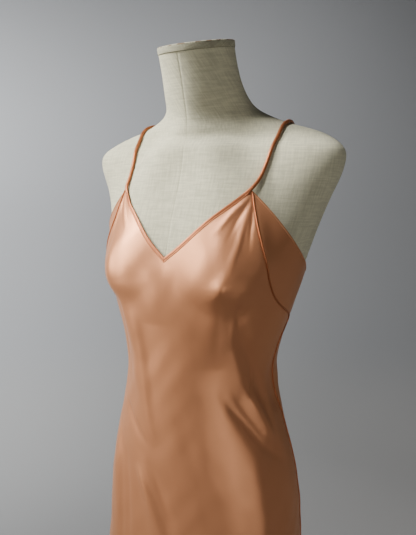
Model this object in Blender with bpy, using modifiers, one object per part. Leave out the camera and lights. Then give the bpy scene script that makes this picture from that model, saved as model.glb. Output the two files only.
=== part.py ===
"""A bias-cut slip dress on a limbless dress form, with the form's own stand.

Metres, +Z up. The front faces -Y and the wearer's left is +X. The origin is on the floor, under the
pole. Angles round the body are in degrees from the front, positive towards +X.
"""

import math
from collections import namedtuple

import bmesh
import bpy
import numpy as np

# Driving dimensions.
APEX_HEIGHT = 1.300  # where the neckline, the strap and the side seam meet
DRESS_LENGTH = 1.030  # from there down to the hem
CLOTH_THICKNESS = 0.0012
SEAM_GAP = 0.0004  # between two cloth edges that are sewn together
REST_GAP = 0.0004  # between a piece and what it lies on
EASE = 0.0015  # from the form to the inside of the cloth, where it is tight
KNEE = 0.0040  # how softly the cloth leaves the form

NECKLINE_RADIUS = 0.116  # the cloth's depth at the neckline, which turns widths into degrees
BINDING_WIDTH = 0.0055
BINDING_THICKNESS = 0.0021
PIPING_RADIUS = 0.0011
STRAP_RADIUS = 0.0024
STRAP_GAP = 0.0013  # more than REST_GAP, because the form's faces are flat between its corners
STRAP_FRONT_X = 0.0970
STRAP_TOP_X = 0.1100
STRAP_BACK_X = 0.0640
STRAP_FRONT_HEIGHT = 0.0042
STRAP_BACK_HEIGHT = -0.1300
TOP_SHIFT_ANGLE = 1.6  # how far the sides of the dress's top have crept round towards the left
TOP_SHIFT_X = 0.0055  # the same for the straps
TOP_SHIFT_FOOT = -0.130  # the height where that ends

WIDEST_HEIGHT = 0.0500  # the level above which the shoulders only narrow

CAP_RADIUS = 0.0525
CAP_THICKNESS = 0.0090
CAP_BEVEL = 0.0012
COLLAR_RADIUS = 0.0300
COLLAR_HEIGHT = 0.0200
COLLAR_FOOT_RADIUS = 0.0180
POLE_RADIUS = 0.0140
BASE_RADIUS = 0.1700
BASE_THICKNESS = 0.0080
BASE_EDGE = 0.0020
BOSS_FOOT_RADIUS = 0.0340
BOSS_TOP_RADIUS = 0.0210
BOSS_HEIGHT = 0.0320

# How finely each piece is divided.
FRONT_COLUMNS = 30
BACK_COLUMNS = 34
FORM_RINGS = 58
FORM_SIDES = 52
BINDING_STEPS = 18
BINDING_ROWS = 2
STRAP_STEPS = 30
ROUND_SIDES = 32
CORD_RESOLUTION = 2
COLUMN_CROWDING = 0.3  # how much closer the back panel's columns stand near its side seams

PROFILE_STEPS = 3000  # for looking up a section by its height
STRAP_TRIES = 361  # angles tried for where a strap lies at each height
SETTLE_ROUNDS = 12  # for finding where each column of a panel meets its upper edge
MERGE_DISTANCE = 0.00001

# Level sections of the form. Heights are from the apex, and front and back are depths from a middle
# line that lies behind x = z = 0 by the given amount. A squareness of 2 is an ellipse, and lean tips
# the section forwards.
FormSection = namedtuple("FormSection", "height half_width front back middle squareness lean")
FORM_SECTIONS = [
    FormSection(-0.600, 0.122, 0.090, 0.090, 0.005, 2.20, 0),
    FormSection(-0.592, 0.136, 0.104, 0.104, 0.005, 2.20, 0),
    FormSection(-0.530, 0.146, 0.111, 0.116, 0.005, 2.20, 0),
    FormSection(-0.450, 0.142, 0.110, 0.108, 0.004, 2.15, 0),
    FormSection(-0.370, 0.126, 0.106, 0.090, 0.001, 2.10, 0),
    FormSection(-0.300, 0.111, 0.101, 0.080, -0.003, 2.05, 0),
    FormSection(-0.250, 0.107, 0.098, 0.078, -0.005, 2.05, 0),
    FormSection(-0.200, 0.116, 0.098, 0.089, -0.005, 2.05, 0),
    FormSection(-0.150, 0.131, 0.102, 0.103, -0.002, 2.10, 0),
    FormSection(-0.100, 0.146, 0.110, 0.110, 0.006, 2.10, 0),
    FormSection(-0.050, 0.1615, 0.102, 0.114, 0.0105, 2.10, 0),
    FormSection(0.000, 0.181, 0.084, 0.110, 0.0135, 2.10, 0),
    FormSection(0.030, 0.194, 0.066, 0.098, 0.010, 2.10, 0),
    FormSection(0.049, 0.195, 0.057, 0.086, 0.010, 2.10, 0),
    FormSection(0.063, 0.182, 0.0535, 0.0765, 0.014, 2.05, 4),
    FormSection(0.076, 0.156, 0.0515, 0.0695, 0.0175, 2.00, 8),
    FormSection(0.088, 0.115, 0.051, 0.063, 0.015, 2.00, 10),
    FormSection(0.099, 0.087, 0.051, 0.059, 0.011, 2.00, 11),
    FormSection(0.112, 0.067, 0.051, 0.055, 0.003, 2.00, 11),
    FormSection(0.130, 0.058, 0.051, 0.053, -0.010, 2.00, 12),
    FormSection(0.154, 0.053, 0.051, 0.052, -0.022, 2.00, 13),
    FormSection(0.181, 0.0515, 0.0515, 0.0515, -0.033, 2.00, 14),
]

# Soft mounds that lift the form off its sections: where each one is, how far it reaches, and its rise.
# Where the rise is below zero it is a hollow.
Mound = namedtuple("Mound", "angle height spread reach_up reach_down rise")
BUST_LEFT = Mound(37, -0.122, 24, 0.066, 0.040, 0.026)
BUST_RIGHT = BUST_LEFT._replace(angle=-37)
FRONT_OF_NECK = Mound(0, 0.078, 36, 0.044, 0.050, 0.0305)
SIDES_OF_NECK = Mound(0, 0.078, 52, 0.044, 0.050, -0.0085)
BREASTBONE = Mound(0, -0.020, 37, 0.070, 0.070, 0.005)
SHOULDER_LEFT = Mound(32, 0.050, 19.6, 0.034, 0.082, 0.0125)
SHOULDER_RIGHT = SHOULDER_LEFT._replace(angle=-32)
ARM_SIDE_LEFT = Mound(66, 0.050, 12, 0.050, 0.060, -0.0100)
ARM_SIDE_RIGHT = ARM_SIDE_LEFT._replace(angle=-66)
MOUNDS = (
    BUST_LEFT,
    BUST_RIGHT,
    FRONT_OF_NECK,
    SIDES_OF_NECK,
    BREASTBONE,
    SHOULDER_LEFT,
    SHOULDER_RIGHT,
    ARM_SIDE_LEFT,
    ARM_SIDE_RIGHT,
)

# Level sections of the cloth where it hangs clear of the form, about the same middle line.
ClothSection = namedtuple("ClothSection", "height half_width front back squareness")
CLOTH_SECTIONS = [
    ClothSection(-1.030, 0.235, 0.200, 0.196, 2.05),
    ClothSection(-0.900, 0.214, 0.181, 0.180, 2.05),
    ClothSection(-0.750, 0.188, 0.157, 0.162, 2.10),
    ClothSection(-0.600, 0.163, 0.131, 0.142, 2.15),
    ClothSection(-0.530, 0.155, 0.126, 0.132, 2.15),
    ClothSection(-0.450, 0.150, 0.122, 0.117, 2.15),
    ClothSection(-0.370, 0.136, 0.118, 0.096, 2.10),
    ClothSection(-0.300, 0.118, 0.112, 0.087, 2.05),
    ClothSection(-0.250, 0.111, 0.110, 0.087, 2.05),
    ClothSection(-0.200, 0.122, 0.110, 0.096, 2.05),
    ClothSection(-0.150, 0.137, 0.115, 0.107, 2.10),
    ClothSection(-0.100, 0.147, 0.116, 0.109, 2.10),
    ClothSection(-0.050, 0.150, 0.103, 0.106, 2.10),
    ClothSection(0.020, 0.150, 0.062, 0.097, 2.10),
]

# The largest folds: a soft ridge, or a trough where rise is below zero, from one point of the cloth
# to another.
Fold = namedtuple("Fold", "top_angle top_height foot_angle foot_height width rise")
FOLD_FADE = 0.35  # the share of its length over which each end of a fold dies away
FOLDS = [
    Fold(44, -0.245, 88, -0.400, 0.014, -0.0040),
    Fold(47, -0.165, 80, -0.330, 0.012, -0.0030),
    Fold(62, -0.250, 84, -0.370, 0.014, 0.0030),
    Fold(88, -0.225, 90, -0.320, 0.013, -0.0050),
    Fold(106, -0.190, 106, -0.340, 0.014, 0.0025),
    Fold(-26, -0.150, -22, -0.300, 0.016, 0.0025),
    Fold(-20, -0.360, 4, -0.540, 0.015, 0.0030),
    Fold(-50, -0.340, -43, -0.600, 0.020, 0.0035),
    Fold(-88, -0.230, -90, -0.320, 0.012, -0.0040),
    Fold(-112, -0.200, -102, -0.380, 0.016, 0.0040),
    Fold(-150, -0.170, -118, -0.330, 0.015, -0.0035),
    Fold(152, -0.180, 124, -0.330, 0.015, -0.0035),
    Fold(168, -0.230, 150, -0.420, 0.016, 0.0030),
    Fold(-170, -0.250, -146, -0.450, 0.016, 0.0030),
]

# Flutes that open towards the hem: their angle, half their width at the hem, how far they stand out
# there, and the height where they start.
Flute = namedtuple("Flute", "angle half_width rise start")
FLUTES = [
    Flute(-12, 0.042, 0.013, -0.50),
    Flute(31, 0.036, 0.010, -0.58),
    Flute(66, 0.044, 0.014, -0.46),
    Flute(104, 0.036, 0.010, -0.55),
    Flute(139, 0.044, 0.013, -0.48),
    Flute(176, 0.038, 0.009, -0.60),
    Flute(-147, 0.042, 0.013, -0.50),
    Flute(-108, 0.036, 0.010, -0.57),
    Flute(-71, 0.042, 0.013, -0.47),
    Flute(-42, 0.030, 0.007, -0.64),
]

# The side seam, as its angle at each height. It curves back under the arm to a corner, then drops.
SeamPoint = namedtuple("SeamPoint", "height angle")
SIDE_SEAM = [
    SeamPoint(-1.030, 96.0),
    SeamPoint(-0.600, 100.5),
    SeamPoint(-0.440, 101.5),
    SeamPoint(-0.330, 98.0),
    SeamPoint(-0.260, 93.0),
    SeamPoint(-0.215, 92.0),
    SeamPoint(-0.196, 94.5),
    SeamPoint(-0.182, 98.0),
    SeamPoint(-0.172, 93.5),
    SeamPoint(-0.160, 82.5),
    SeamPoint(-0.145, 72.0),
    SeamPoint(-0.120, 62.4),
    SeamPoint(-0.090, 56.2),
    SeamPoint(-0.060, 52.8),
    SeamPoint(-0.030, 51.3),
    SeamPoint(0.000, 51.2),
]

# The upper edges of the cloth, as the height at each angle from the front: the neckline runs from the
# point of the V to the strap, and the low back edge from the strap round to the centre back.
EdgePoint = namedtuple("EdgePoint", "angle height")
NECKLINE = [
    EdgePoint(0, -0.0902),
    EdgePoint(9.7, -0.0738),
    EdgePoint(19, -0.0552),
    EdgePoint(28.2, -0.0372),
    EdgePoint(37.2, -0.0222),
    EdgePoint(46.4, -0.0066),
    EdgePoint(54, 0.0065),
]
BACK_EDGE = [
    EdgePoint(51.2, -0.0085),
    EdgePoint(55, -0.0180),
    EdgePoint(59.6, -0.0310),
    EdgePoint(68.4, -0.0570),
    EdgePoint(78, -0.0790),
    EdgePoint(90, -0.0980),
    EdgePoint(100, -0.1100),
    EdgePoint(120, -0.1240),
    EdgePoint(150, -0.1330),
    EdgePoint(180, -0.1350),
]
BINDING_END_ANGLE = 52.4
SEAM_ANGLE_AT_STRAP = 51.2

# Rows of the panels, as heights down the side seam.
BODICE_ROWS = 19
BODICE_ROWS_FOOT = -0.218
SKIRT_ROW_HEIGHTS = (-0.240, -0.268, -0.305, -0.350, -0.405, -0.470, -0.550, -0.660, -0.820, -1.030)

SATIN = ("satin", (0.60, 0.33, 0.19), 0.34, 0.0)
SATIN_TRIM = ("satin_trim", (0.52, 0.24, 0.13), 0.36, 0.0)
LINEN = ("linen", (0.68, 0.66, 0.58), 0.85, 0.0)
CAP_CLOTH = ("cap_cloth", (0.60, 0.57, 0.49), 0.70, 0.0)
STEEL = ("brushed_steel", (0.56, 0.56, 0.55), 0.35, 1.0)
PAINTED_STEEL = ("painted_steel", (0.10, 0.10, 0.10), 0.50, 0.0)


def natural_spline(knots, rows):
    """A function that runs smoothly through the rows, each at its own knot."""
    knots = np.asarray(knots, float)
    rows = np.asarray(rows, float).reshape(len(knots), -1)
    steps = np.diff(knots)
    system = np.eye(len(knots))
    target = np.zeros_like(rows)
    for i in range(1, len(knots) - 1):
        system[i, i - 1 : i + 2] = steps[i - 1], 2 * (steps[i - 1] + steps[i]), steps[i]
        target[i] = 6 * ((rows[i + 1] - rows[i]) / steps[i] - (rows[i] - rows[i - 1]) / steps[i - 1])
    bends = np.linalg.solve(system, target)

    def value(at):
        at = np.clip(np.asarray(at, float), knots[0], knots[-1])
        i = np.clip(np.searchsorted(knots, at) - 1, 0, len(steps) - 1)
        step = steps[i][..., None]
        low = (knots[i + 1] - at)[..., None] / step
        high = 1 - low
        straight = low * rows[i] + high * rows[i + 1]
        return straight + ((low**3 - low) * bends[i] + (high**3 - high) * bends[i + 1]) * step**2 / 6

    return value


def table_spline(table):
    """The table's other columns as a function of its first."""
    return natural_spline([row[0] for row in table], [row[1:] for row in table])


form_widths = np.array([[row.height, row.half_width] for row in FORM_SECTIONS])
form_runs = np.concatenate([[0], np.cumsum(np.hypot(*np.diff(form_widths, axis=0).T))])
form_row = natural_spline(form_runs, FORM_SECTIONS)
fine_runs = np.linspace(0, form_runs[-1], PROFILE_STEPS)
fine_heights = form_row(fine_runs)[:, 0]
cloth_row = table_spline(CLOTH_SECTIONS)
seam_row = table_spline(SIDE_SEAM)
neckline_row = table_spline(NECKLINE)
back_edge_row = table_spline(BACK_EDGE)


def wrapped(angle):
    """An angle brought between -180 and 180."""
    return (angle + 180) % 360 - 180


def smooth_step(value):
    value = np.clip(value, 0, 1)
    return value * value * (3 - 2 * value)


def ring_radius(angle, half_width, front, back, squareness):
    """How far a rounded section reaches at an angle."""
    turn = np.radians(angle)
    depth = np.where(np.cos(turn) > 0, front, back)
    across = np.abs(np.sin(turn) / half_width) ** squareness
    along = np.abs(np.cos(turn) / depth) ** squareness
    return (across + along) ** (-1 / squareness)


def mound_rise(angle, height):
    """How far the bust, the shoulders and the front of the neck lift the form."""
    rise = 0
    for mound in MOUNDS:
        above = height - mound.height
        level = (above / np.where(above > 0, mound.reach_up, mound.reach_down)) ** 2
        rise = rise + mound.rise * np.exp(-((wrapped(angle - mound.angle) / mound.spread) ** 2) - level)
    return rise


def form_section(height):
    """The form's section at a height, as its table's columns."""
    return form_row(np.interp(height, fine_heights, fine_runs))


def section_radius(section, angle):
    radius = ring_radius(angle, section[..., 1], section[..., 2], section[..., 3], section[..., 5])
    return radius + mound_rise(angle, section[..., 0])


def section_point(section, angle):
    """The point of the form's surface at an angle of a section."""
    radius = section_radius(section, angle)
    turn = np.radians(angle)
    lean = np.radians(section[..., 6])
    depth = -radius * np.cos(turn)
    y = section[..., 4] + depth * np.cos(lean)
    z = APEX_HEIGHT + section[..., 0] + depth * np.sin(lean)
    return np.stack(np.broadcast_arrays(radius * np.sin(turn), y, z), axis=-1)


def fold_rise(angle, height):
    """How far the folds and flutes lift the cloth off its plain sections."""
    rise = np.zeros(np.broadcast(angle, height).shape)
    for fold in FOLDS:
        metres = math.radians(1) * float(cloth_row((fold.top_height + fold.foot_height) / 2)[0])
        across = metres * wrapped(angle - fold.top_angle)
        down = fold.top_height - height
        run_across = metres * (fold.foot_angle - fold.top_angle)
        run_down = fold.top_height - fold.foot_height
        length = math.hypot(run_across, run_down)
        along = (across * run_across + down * run_down) / length**2
        aside = (across * run_down - down * run_across) / length
        fade = smooth_step(along / FOLD_FADE) * smooth_step((1 - along) / FOLD_FADE)
        rise = rise + fold.rise * fade * np.exp(-((aside / fold.width) ** 2))
    hem_radius = CLOTH_SECTIONS[0].half_width
    for flute in FLUTES:
        open_part = smooth_step((flute.start - height) / (flute.start + DRESS_LENGTH))
        half_angle = math.degrees(flute.half_width / hem_radius)
        turn = wrapped(angle - flute.angle) / half_angle
        rise = rise + flute.rise * open_part * np.exp(-(turn**2))
    return rise


def hung_angle(angle, height):
    """The angle where a point of the dress hangs: its top has crept round towards the left."""
    share = smooth_step((height - TOP_SHIFT_FOOT) / -TOP_SHIFT_FOOT)
    return angle + TOP_SHIFT_ANGLE * share * np.sin(np.radians(angle)) ** 2


def cloth_point(angle, height):
    """The point on the inside of the cloth at an angle and a height from the apex."""
    angle = hung_angle(angle, height)
    section = form_section(height)
    hang = cloth_row(height)
    tight = section_radius(section, angle) + EASE
    loose = ring_radius(angle, hang[..., 0], hang[..., 1], hang[..., 2], hang[..., 3]) - CLOTH_THICKNESS
    loose = loose + fold_rise(angle, height)
    radius = (tight + loose + np.sqrt((tight - loose) ** 2 + KNEE**2)) / 2
    turn = np.radians(angle)
    y = section[..., 4] - radius * np.cos(turn)
    return np.stack(np.broadcast_arrays(radius * np.sin(turn), y, APEX_HEIGHT + height), axis=-1)


def surface_normal(surface, angle, height):
    """The outward unit normal of a surface that is a function of angle and height."""
    step_angle = 0.05
    step_height = 0.0001
    round_way = surface(angle + step_angle, height) - surface(angle - step_angle, height)
    up_way = surface(angle, height + step_height) - surface(angle, height - step_height)
    normal = np.cross(round_way, up_way)
    return normal / np.linalg.norm(normal, axis=-1, keepdims=True)


def form_surface(angle, height):
    return section_point(form_section(height), angle)


def seam_angle(height):
    return seam_row(height)[..., 0]


def seam_margin(height):
    """Half the seam's gap, as degrees along a level row."""
    step = 0.0005
    radius = cloth_row(height)[..., 0]
    slope = np.radians(seam_angle(height + step) - seam_angle(height - step)) * radius / (2 * step)
    return np.degrees(SEAM_GAP / 2 * np.sqrt(1 + slope**2) / radius)


def neckline_height(angle):
    return neckline_row(np.abs(angle))[..., 0]


def binding_depth(angle, width):
    """How far below the neckline a line lies that runs at this width from it."""
    step = 0.5
    level = np.maximum(np.abs(angle), step)
    climb = neckline_height(level + step) - neckline_height(level - step)
    slope = climb / (2 * math.radians(step) * NECKLINE_RADIUS)
    return width * np.sqrt(1 + slope**2)


def back_edge_height(angle):
    """The height of the low back edge, from one strap round the back to the other."""
    return back_edge_row(180 - np.abs(angle - 180))[..., 0]


def seam_heights():
    """The heights of the panels' rows, down the side seam."""
    top = float(back_edge_height(SEAM_ANGLE_AT_STRAP))
    return np.concatenate([np.linspace(top, BODICE_ROWS_FOOT, BODICE_ROWS), SKIRT_ROW_HEIGHTS])


def panel_rows(top_heights):
    """The heights of all rows for each column, from its own top edge down to the hem."""
    rows = seam_heights()
    share = (rows - rows[0]) / (rows[-1] - rows[0])
    return top_heights[None, :] + share[:, None] * (rows[-1] - top_heights[None, :])


def front_grid():
    """Angles and heights of the front panel, from the wearer's right seam to the left one."""
    across = np.linspace(-1, 1, FRONT_COLUMNS + 1)
    top = np.full(FRONT_COLUMNS + 1, seam_heights()[0])
    for _ in range(SETTLE_ROUNDS):
        angle = across * seam_angle(top)
        top = neckline_height(angle) - binding_depth(angle, BINDING_WIDTH + SEAM_GAP)
    top[0] = top[-1] = seam_heights()[0]
    height = panel_rows(top)
    return across[None, :] * (seam_angle(height) - seam_margin(height)), height


def back_grid():
    """Angles and heights of the back panel, from the wearer's left seam round to the right one."""
    even = np.linspace(-1, 1, BACK_COLUMNS + 1)
    across = even * (1 + COLUMN_CROWDING - COLUMN_CROWDING * even**2)
    top = np.full(BACK_COLUMNS + 1, seam_heights()[0])
    for _ in range(SETTLE_ROUNDS):
        top = back_edge_height(180 + across * (180 - seam_angle(top)))
    height = panel_rows(top)
    return 180 + across[None, :] * (180 - seam_angle(height) - seam_margin(height)), height


def clear_scene():
    for obj in list(bpy.data.objects):
        bpy.data.objects.remove(obj)


def new_material(name, colour, roughness, metallic):
    material = bpy.data.materials.get(name) or bpy.data.materials.new(name)
    material.use_nodes = True
    shader = material.node_tree.nodes["Principled BSDF"]
    shader.inputs["Base Color"].default_value = (*colour, 1)
    shader.inputs["Roughness"].default_value = roughness
    shader.inputs["Metallic"].default_value = metallic
    return material


def finish_piece(obj, name, finish, collection):
    """Names a piece, gives it its material and moves it into the part's collection."""
    obj.name = name
    obj.data.name = name
    obj.data.materials.append(new_material(*finish))
    for other in list(obj.users_collection):
        other.objects.unlink(obj)
    collection.objects.link(obj)
    return obj


def cloth_piece(name, angles, heights, thickness, finish, collection):
    """A wall of cloth: a flat grid laid on the inside of the cloth and thickened outwards."""
    rows, columns = angles.shape
    bpy.ops.mesh.primitive_grid_add(x_subdivisions=columns - 1, y_subdivisions=rows - 1, size=1)
    obj = bpy.context.active_object
    points = cloth_point(angles, heights)
    # The grid's points run along x within each row of y, and the first row is the lowest one.
    obj.data.vertices.foreach_set("co", points[::-1].reshape(-1))
    obj.data.update()
    obj.data.shade_smooth()
    wall = obj.modifiers.new("Wall", "SOLIDIFY")
    wall.thickness = thickness
    wall.offset = 1
    return finish_piece(obj, name, finish, collection)


def cord_piece(name, points, radius, finish, collection):
    """A round cord through the points, with closed ends."""
    curve = bpy.data.curves.new(name, "CURVE")
    curve.dimensions = "3D"
    curve.bevel_depth = radius
    curve.bevel_resolution = CORD_RESOLUTION
    curve.use_fill_caps = True
    spline = curve.splines.new("POLY")
    spline.points.add(len(points) - 1)
    spline.points.foreach_set("co", np.column_stack([points, np.ones(len(points))]).reshape(-1))
    obj = bpy.data.objects.new(name, curve)
    bpy.context.scene.collection.objects.link(obj)
    return finish_piece(obj, name, finish, collection)


def turned_piece(name, profile, finish, collection):
    """A turned solid. The profile runs from the axis at the top, down the outside, to the axis."""
    mesh = bpy.data.meshes.new(name)
    points = [(radius, 0, height) for radius, height in profile]
    mesh.from_pydata(points, [(i, i + 1) for i in range(len(points) - 1)], [])
    obj = bpy.data.objects.new(name, mesh)
    bpy.context.scene.collection.objects.link(obj)
    screw = obj.modifiers.new("Turn", "SCREW")
    screw.steps = ROUND_SIDES
    screw.render_steps = ROUND_SIDES
    screw.use_merge_vertices = True
    screw.merge_threshold = MERGE_DISTANCE
    return finish_piece(obj, name, finish, collection)


def build_panels(collection):
    for name, grid in (("front_panel", front_grid), ("back_panel", back_grid)):
        angles, heights = grid()
        cloth_piece(name, angles, heights, CLOTH_THICKNESS, SATIN, collection)


def build_bindings(collection):
    """A folded strip along each side of the V, mitred at its point."""
    start = math.degrees(SEAM_GAP / 2 / NECKLINE_RADIUS)
    along = np.linspace(start, BINDING_END_ANGLE, BINDING_STEPS + 1)
    share = np.linspace(0, 1, BINDING_ROWS + 1)[:, None]
    heights = neckline_height(along) - share * binding_depth(along, BINDING_WIDTH)
    angles = np.broadcast_to(along, heights.shape)
    cloth_piece("neckline_binding_left", angles, heights, BINDING_THICKNESS, SATIN_TRIM, collection)
    mirrored = (-angles[:, ::-1], heights[:, ::-1])
    cloth_piece("neckline_binding_right", *mirrored, BINDING_THICKNESS, SATIN_TRIM, collection)


def build_pipings(collection):
    """A corded edge over each side seam, from the strap down to the hem."""
    rows = seam_heights()
    heights = np.concatenate([[rows[0] - PIPING_RADIUS], rows[1:]])
    stand_off = CLOTH_THICKNESS + REST_GAP + PIPING_RADIUS
    for name, side in (("seam_piping_left", 1), ("seam_piping_right", -1)):
        angles = side * seam_angle(heights)
        points = cloth_point(angles, heights)
        points = points + stand_off * surface_normal(cloth_point, angles, heights)
        cord_piece(name, points, PIPING_RADIUS, SATIN_TRIM, collection)


def strap_run(side, front):
    """Angles and heights of a strap from its end on the front or back up to the shoulder's ridge."""
    foot_height = STRAP_FRONT_HEIGHT if front else STRAP_BACK_HEIGHT
    foot_x = STRAP_FRONT_X + side * TOP_SHIFT_X if front else STRAP_BACK_X
    top_x = STRAP_TOP_X + side * TOP_SHIFT_X
    shoulder = fine_heights > WIDEST_HEIGHT
    widths = form_row(fine_runs[shoulder])[:, 1]
    ridge = np.interp(-top_x, -widths, fine_heights[shoulder])
    heights = foot_height + (ridge - foot_height) * np.sin(np.linspace(0, math.pi / 2, STRAP_STEPS // 2 + 1))
    climb = (heights - foot_height) / (ridge - foot_height)
    x = foot_x + (top_x - foot_x) * np.sin(math.pi / 2 * climb)
    from_middle = np.linspace(0, 90, STRAP_TRIES)
    turns = from_middle if front else 180 - from_middle
    reaches = section_radius(form_section(heights)[:, None], side * turns) * np.sin(np.radians(turns))
    angles = [np.interp(at, np.maximum.accumulate(reach), turns) for at, reach in zip(x, reaches)]
    return side * np.array(angles), heights


def build_straps(collection):
    """A thin turned strap from each end of the neckline, over the shoulder, to the low back edge."""
    for name, side in (("strap_left", 1), ("strap_right", -1)):
        front_angles, front_heights = strap_run(side, True)
        back_angles, back_heights = strap_run(side, False)
        angles = np.concatenate([front_angles, back_angles[-2::-1]])
        heights = np.concatenate([front_heights, back_heights[-2::-1]])
        points = form_surface(angles, heights)
        points = points + (STRAP_RADIUS + STRAP_GAP) * surface_normal(form_surface, angles, heights)
        cord_piece(name, points, STRAP_RADIUS, SATIN_TRIM, collection)


def build_form(collection):
    """The padded torso with its neck, as a loft through its level sections."""
    runs = form_runs[-1] * np.linspace(0, 1, FORM_RINGS + 1)
    angles = np.linspace(0, 360, FORM_SIDES, endpoint=False)
    mesh = bmesh.new()
    rings = []
    for run in runs:
        section = np.broadcast_to(form_row(run), (FORM_SIDES, len(FormSection._fields)))
        rings.append([mesh.verts.new(point) for point in section_point(section, wrapped(angles))])
    for low, high in zip(rings, rings[1:]):
        for i in range(FORM_SIDES):
            j = (i + 1) % FORM_SIDES
            mesh.faces.new((low[i], low[j], high[j], high[i]))
    mesh.faces.new(rings[0][::-1])
    mesh.faces.new(rings[-1])
    data = bpy.data.meshes.new("form_torso")
    mesh.to_mesh(data)
    mesh.free()
    data.shade_smooth()
    obj = bpy.data.objects.new("form_torso", data)
    bpy.context.scene.collection.objects.link(obj)
    finish_piece(obj, "form_torso", LINEN, collection)


def build_cap(collection):
    """The round cap on the neck, tipped forwards with it."""
    top = FORM_SECTIONS[-1]
    lean = math.radians(top.lean)
    rise = REST_GAP + CAP_THICKNESS / 2
    place = (0, top.middle - rise * math.sin(lean), APEX_HEIGHT + top.height + rise * math.cos(lean))
    bpy.ops.mesh.primitive_cylinder_add(
        vertices=ROUND_SIDES, radius=CAP_RADIUS, depth=CAP_THICKNESS, location=place, rotation=(lean, 0, 0)
    )
    obj = bpy.context.active_object
    bevel = obj.modifiers.new("Rounded edge", "BEVEL")
    bevel.width = CAP_BEVEL
    bevel.segments = 2
    finish_piece(obj, "neck_cap", CAP_CLOTH, collection)


def build_stand(collection):
    """A collar under the torso, the pole, and a round plate that stands on the floor."""
    torso_foot = APEX_HEIGHT + FORM_SECTIONS[0].height
    collar_top = torso_foot - REST_GAP
    collar_foot = collar_top - COLLAR_HEIGHT
    collar = [
        (0, collar_top),
        (COLLAR_RADIUS, collar_top),
        (COLLAR_RADIUS, collar_top - COLLAR_HEIGHT / 4),
        (COLLAR_FOOT_RADIUS, collar_foot),
        (0, collar_foot),
    ]
    turned_piece("pole_collar", collar, STEEL, collection)
    boss_top = BASE_THICKNESS + BOSS_HEIGHT
    pole_foot = boss_top + REST_GAP
    pole_top = collar_foot - REST_GAP
    pole = [(0, pole_top), (POLE_RADIUS, pole_top), (POLE_RADIUS, pole_foot), (0, pole_foot)]
    turned_piece("pole", pole, STEEL, collection)
    base = [
        (0, boss_top),
        (BOSS_TOP_RADIUS, boss_top),
        (BOSS_FOOT_RADIUS, BASE_THICKNESS + BOSS_HEIGHT / 5),
        (BOSS_FOOT_RADIUS + BASE_EDGE, BASE_THICKNESS),
        (BASE_RADIUS - BASE_EDGE, BASE_THICKNESS),
        (BASE_RADIUS, BASE_THICKNESS - BASE_EDGE),
        (BASE_RADIUS, 0),
        (0, 0),
    ]
    turned_piece("base_plate", base, PAINTED_STEEL, collection)


def main():
    clear_scene()
    collection = bpy.data.collections.new("slip_dress_on_form")
    bpy.context.scene.collection.children.link(collection)
    build_panels(collection)
    build_bindings(collection)
    build_pipings(collection)
    build_straps(collection)
    build_form(collection)
    build_cap(collection)
    build_stand(collection)


main()
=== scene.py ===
"""A bias-cut satin slip dress on a limbless linen dress form, with the form's own stand.

Metres, +Z up. The front faces -Y and the wearer's left is +X. Heights in the tables are from the point
where the neckline, the strap and the side seam meet, and angles are in degrees round the body from the
front, positive towards the wearer's left.
"""

import math
from collections import namedtuple

import bpy
import numpy as np
from mathutils import Matrix, Vector


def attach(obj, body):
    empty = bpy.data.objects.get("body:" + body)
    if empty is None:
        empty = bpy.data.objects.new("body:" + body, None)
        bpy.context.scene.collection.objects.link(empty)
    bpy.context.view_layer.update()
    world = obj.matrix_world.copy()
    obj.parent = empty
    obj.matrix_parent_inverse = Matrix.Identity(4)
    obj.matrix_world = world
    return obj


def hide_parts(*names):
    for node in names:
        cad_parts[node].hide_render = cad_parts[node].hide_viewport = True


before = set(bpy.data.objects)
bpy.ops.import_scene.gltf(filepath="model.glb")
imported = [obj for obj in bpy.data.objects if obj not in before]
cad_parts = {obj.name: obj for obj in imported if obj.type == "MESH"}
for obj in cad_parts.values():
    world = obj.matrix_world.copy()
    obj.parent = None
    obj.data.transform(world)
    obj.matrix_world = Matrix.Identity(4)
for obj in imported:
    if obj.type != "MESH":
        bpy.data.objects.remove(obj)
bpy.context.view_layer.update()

bl_info = {
    "name": "Slip dress on a dress form",
    "version": (1, 0, 0),
    "blender": (4, 5, 0),
    "location": "3D View > Sidebar > Slip dress",
    "description": "Builds a bias-cut satin slip dress on a limbless linen dress form",
    "category": "Add Mesh",
}

BODY = "root"
APEX_HEIGHT = 1.300
DRESS_LENGTH = 1.030
CLOTH_REACH = 0.0012  # from the inside of the cloth's room to its outside
EASE = 0.0015  # from the form to the inside of the cloth, where it is tight
KNEE = 0.0040  # how softly the cloth leaves the form
CREASE_KNEE = 0.0008  # the same where a crease comes near the form
CREASE_ROOM = 0.0007  # how much closer than its ease a crease may come
SEAM_GAP = 0.0004
NECKLINE_RADIUS = 0.116
BINDING_WIDTH = 0.0055
BINDING_THICKNESS = 0.0021
BINDING_END_ANGLE = 52.4
PANEL_TUCK = 0.0040  # how far below the neckline the front panel starts, inside the binding
SEAM_ANGLE_AT_STRAP = 51.2
STRAP_RADIUS = 0.0024
STRAP_GAP = 0.0001
STRAP_FRONT_X = 0.0970
STRAP_TOP_X = 0.1100
STRAP_LEAN = 0.045  # how strongly the strap turns towards the neck just behind the shoulder's ridge
STRAP_BACK_X = 0.0640
STRAP_FRONT_HEIGHT = 0.0042
STRAP_BACK_HEIGHT = -0.1300
TOP_SHIFT_ANGLE = 1.6
TOP_SHIFT_X = 0.0055
TOP_SHIFT_FOOT = -0.130
WIDEST_HEIGHT = 0.0500
PROFILE_STEPS = 3000
STRAP_TRIES = 361
SETTLE_ROUNDS = 12

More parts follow.
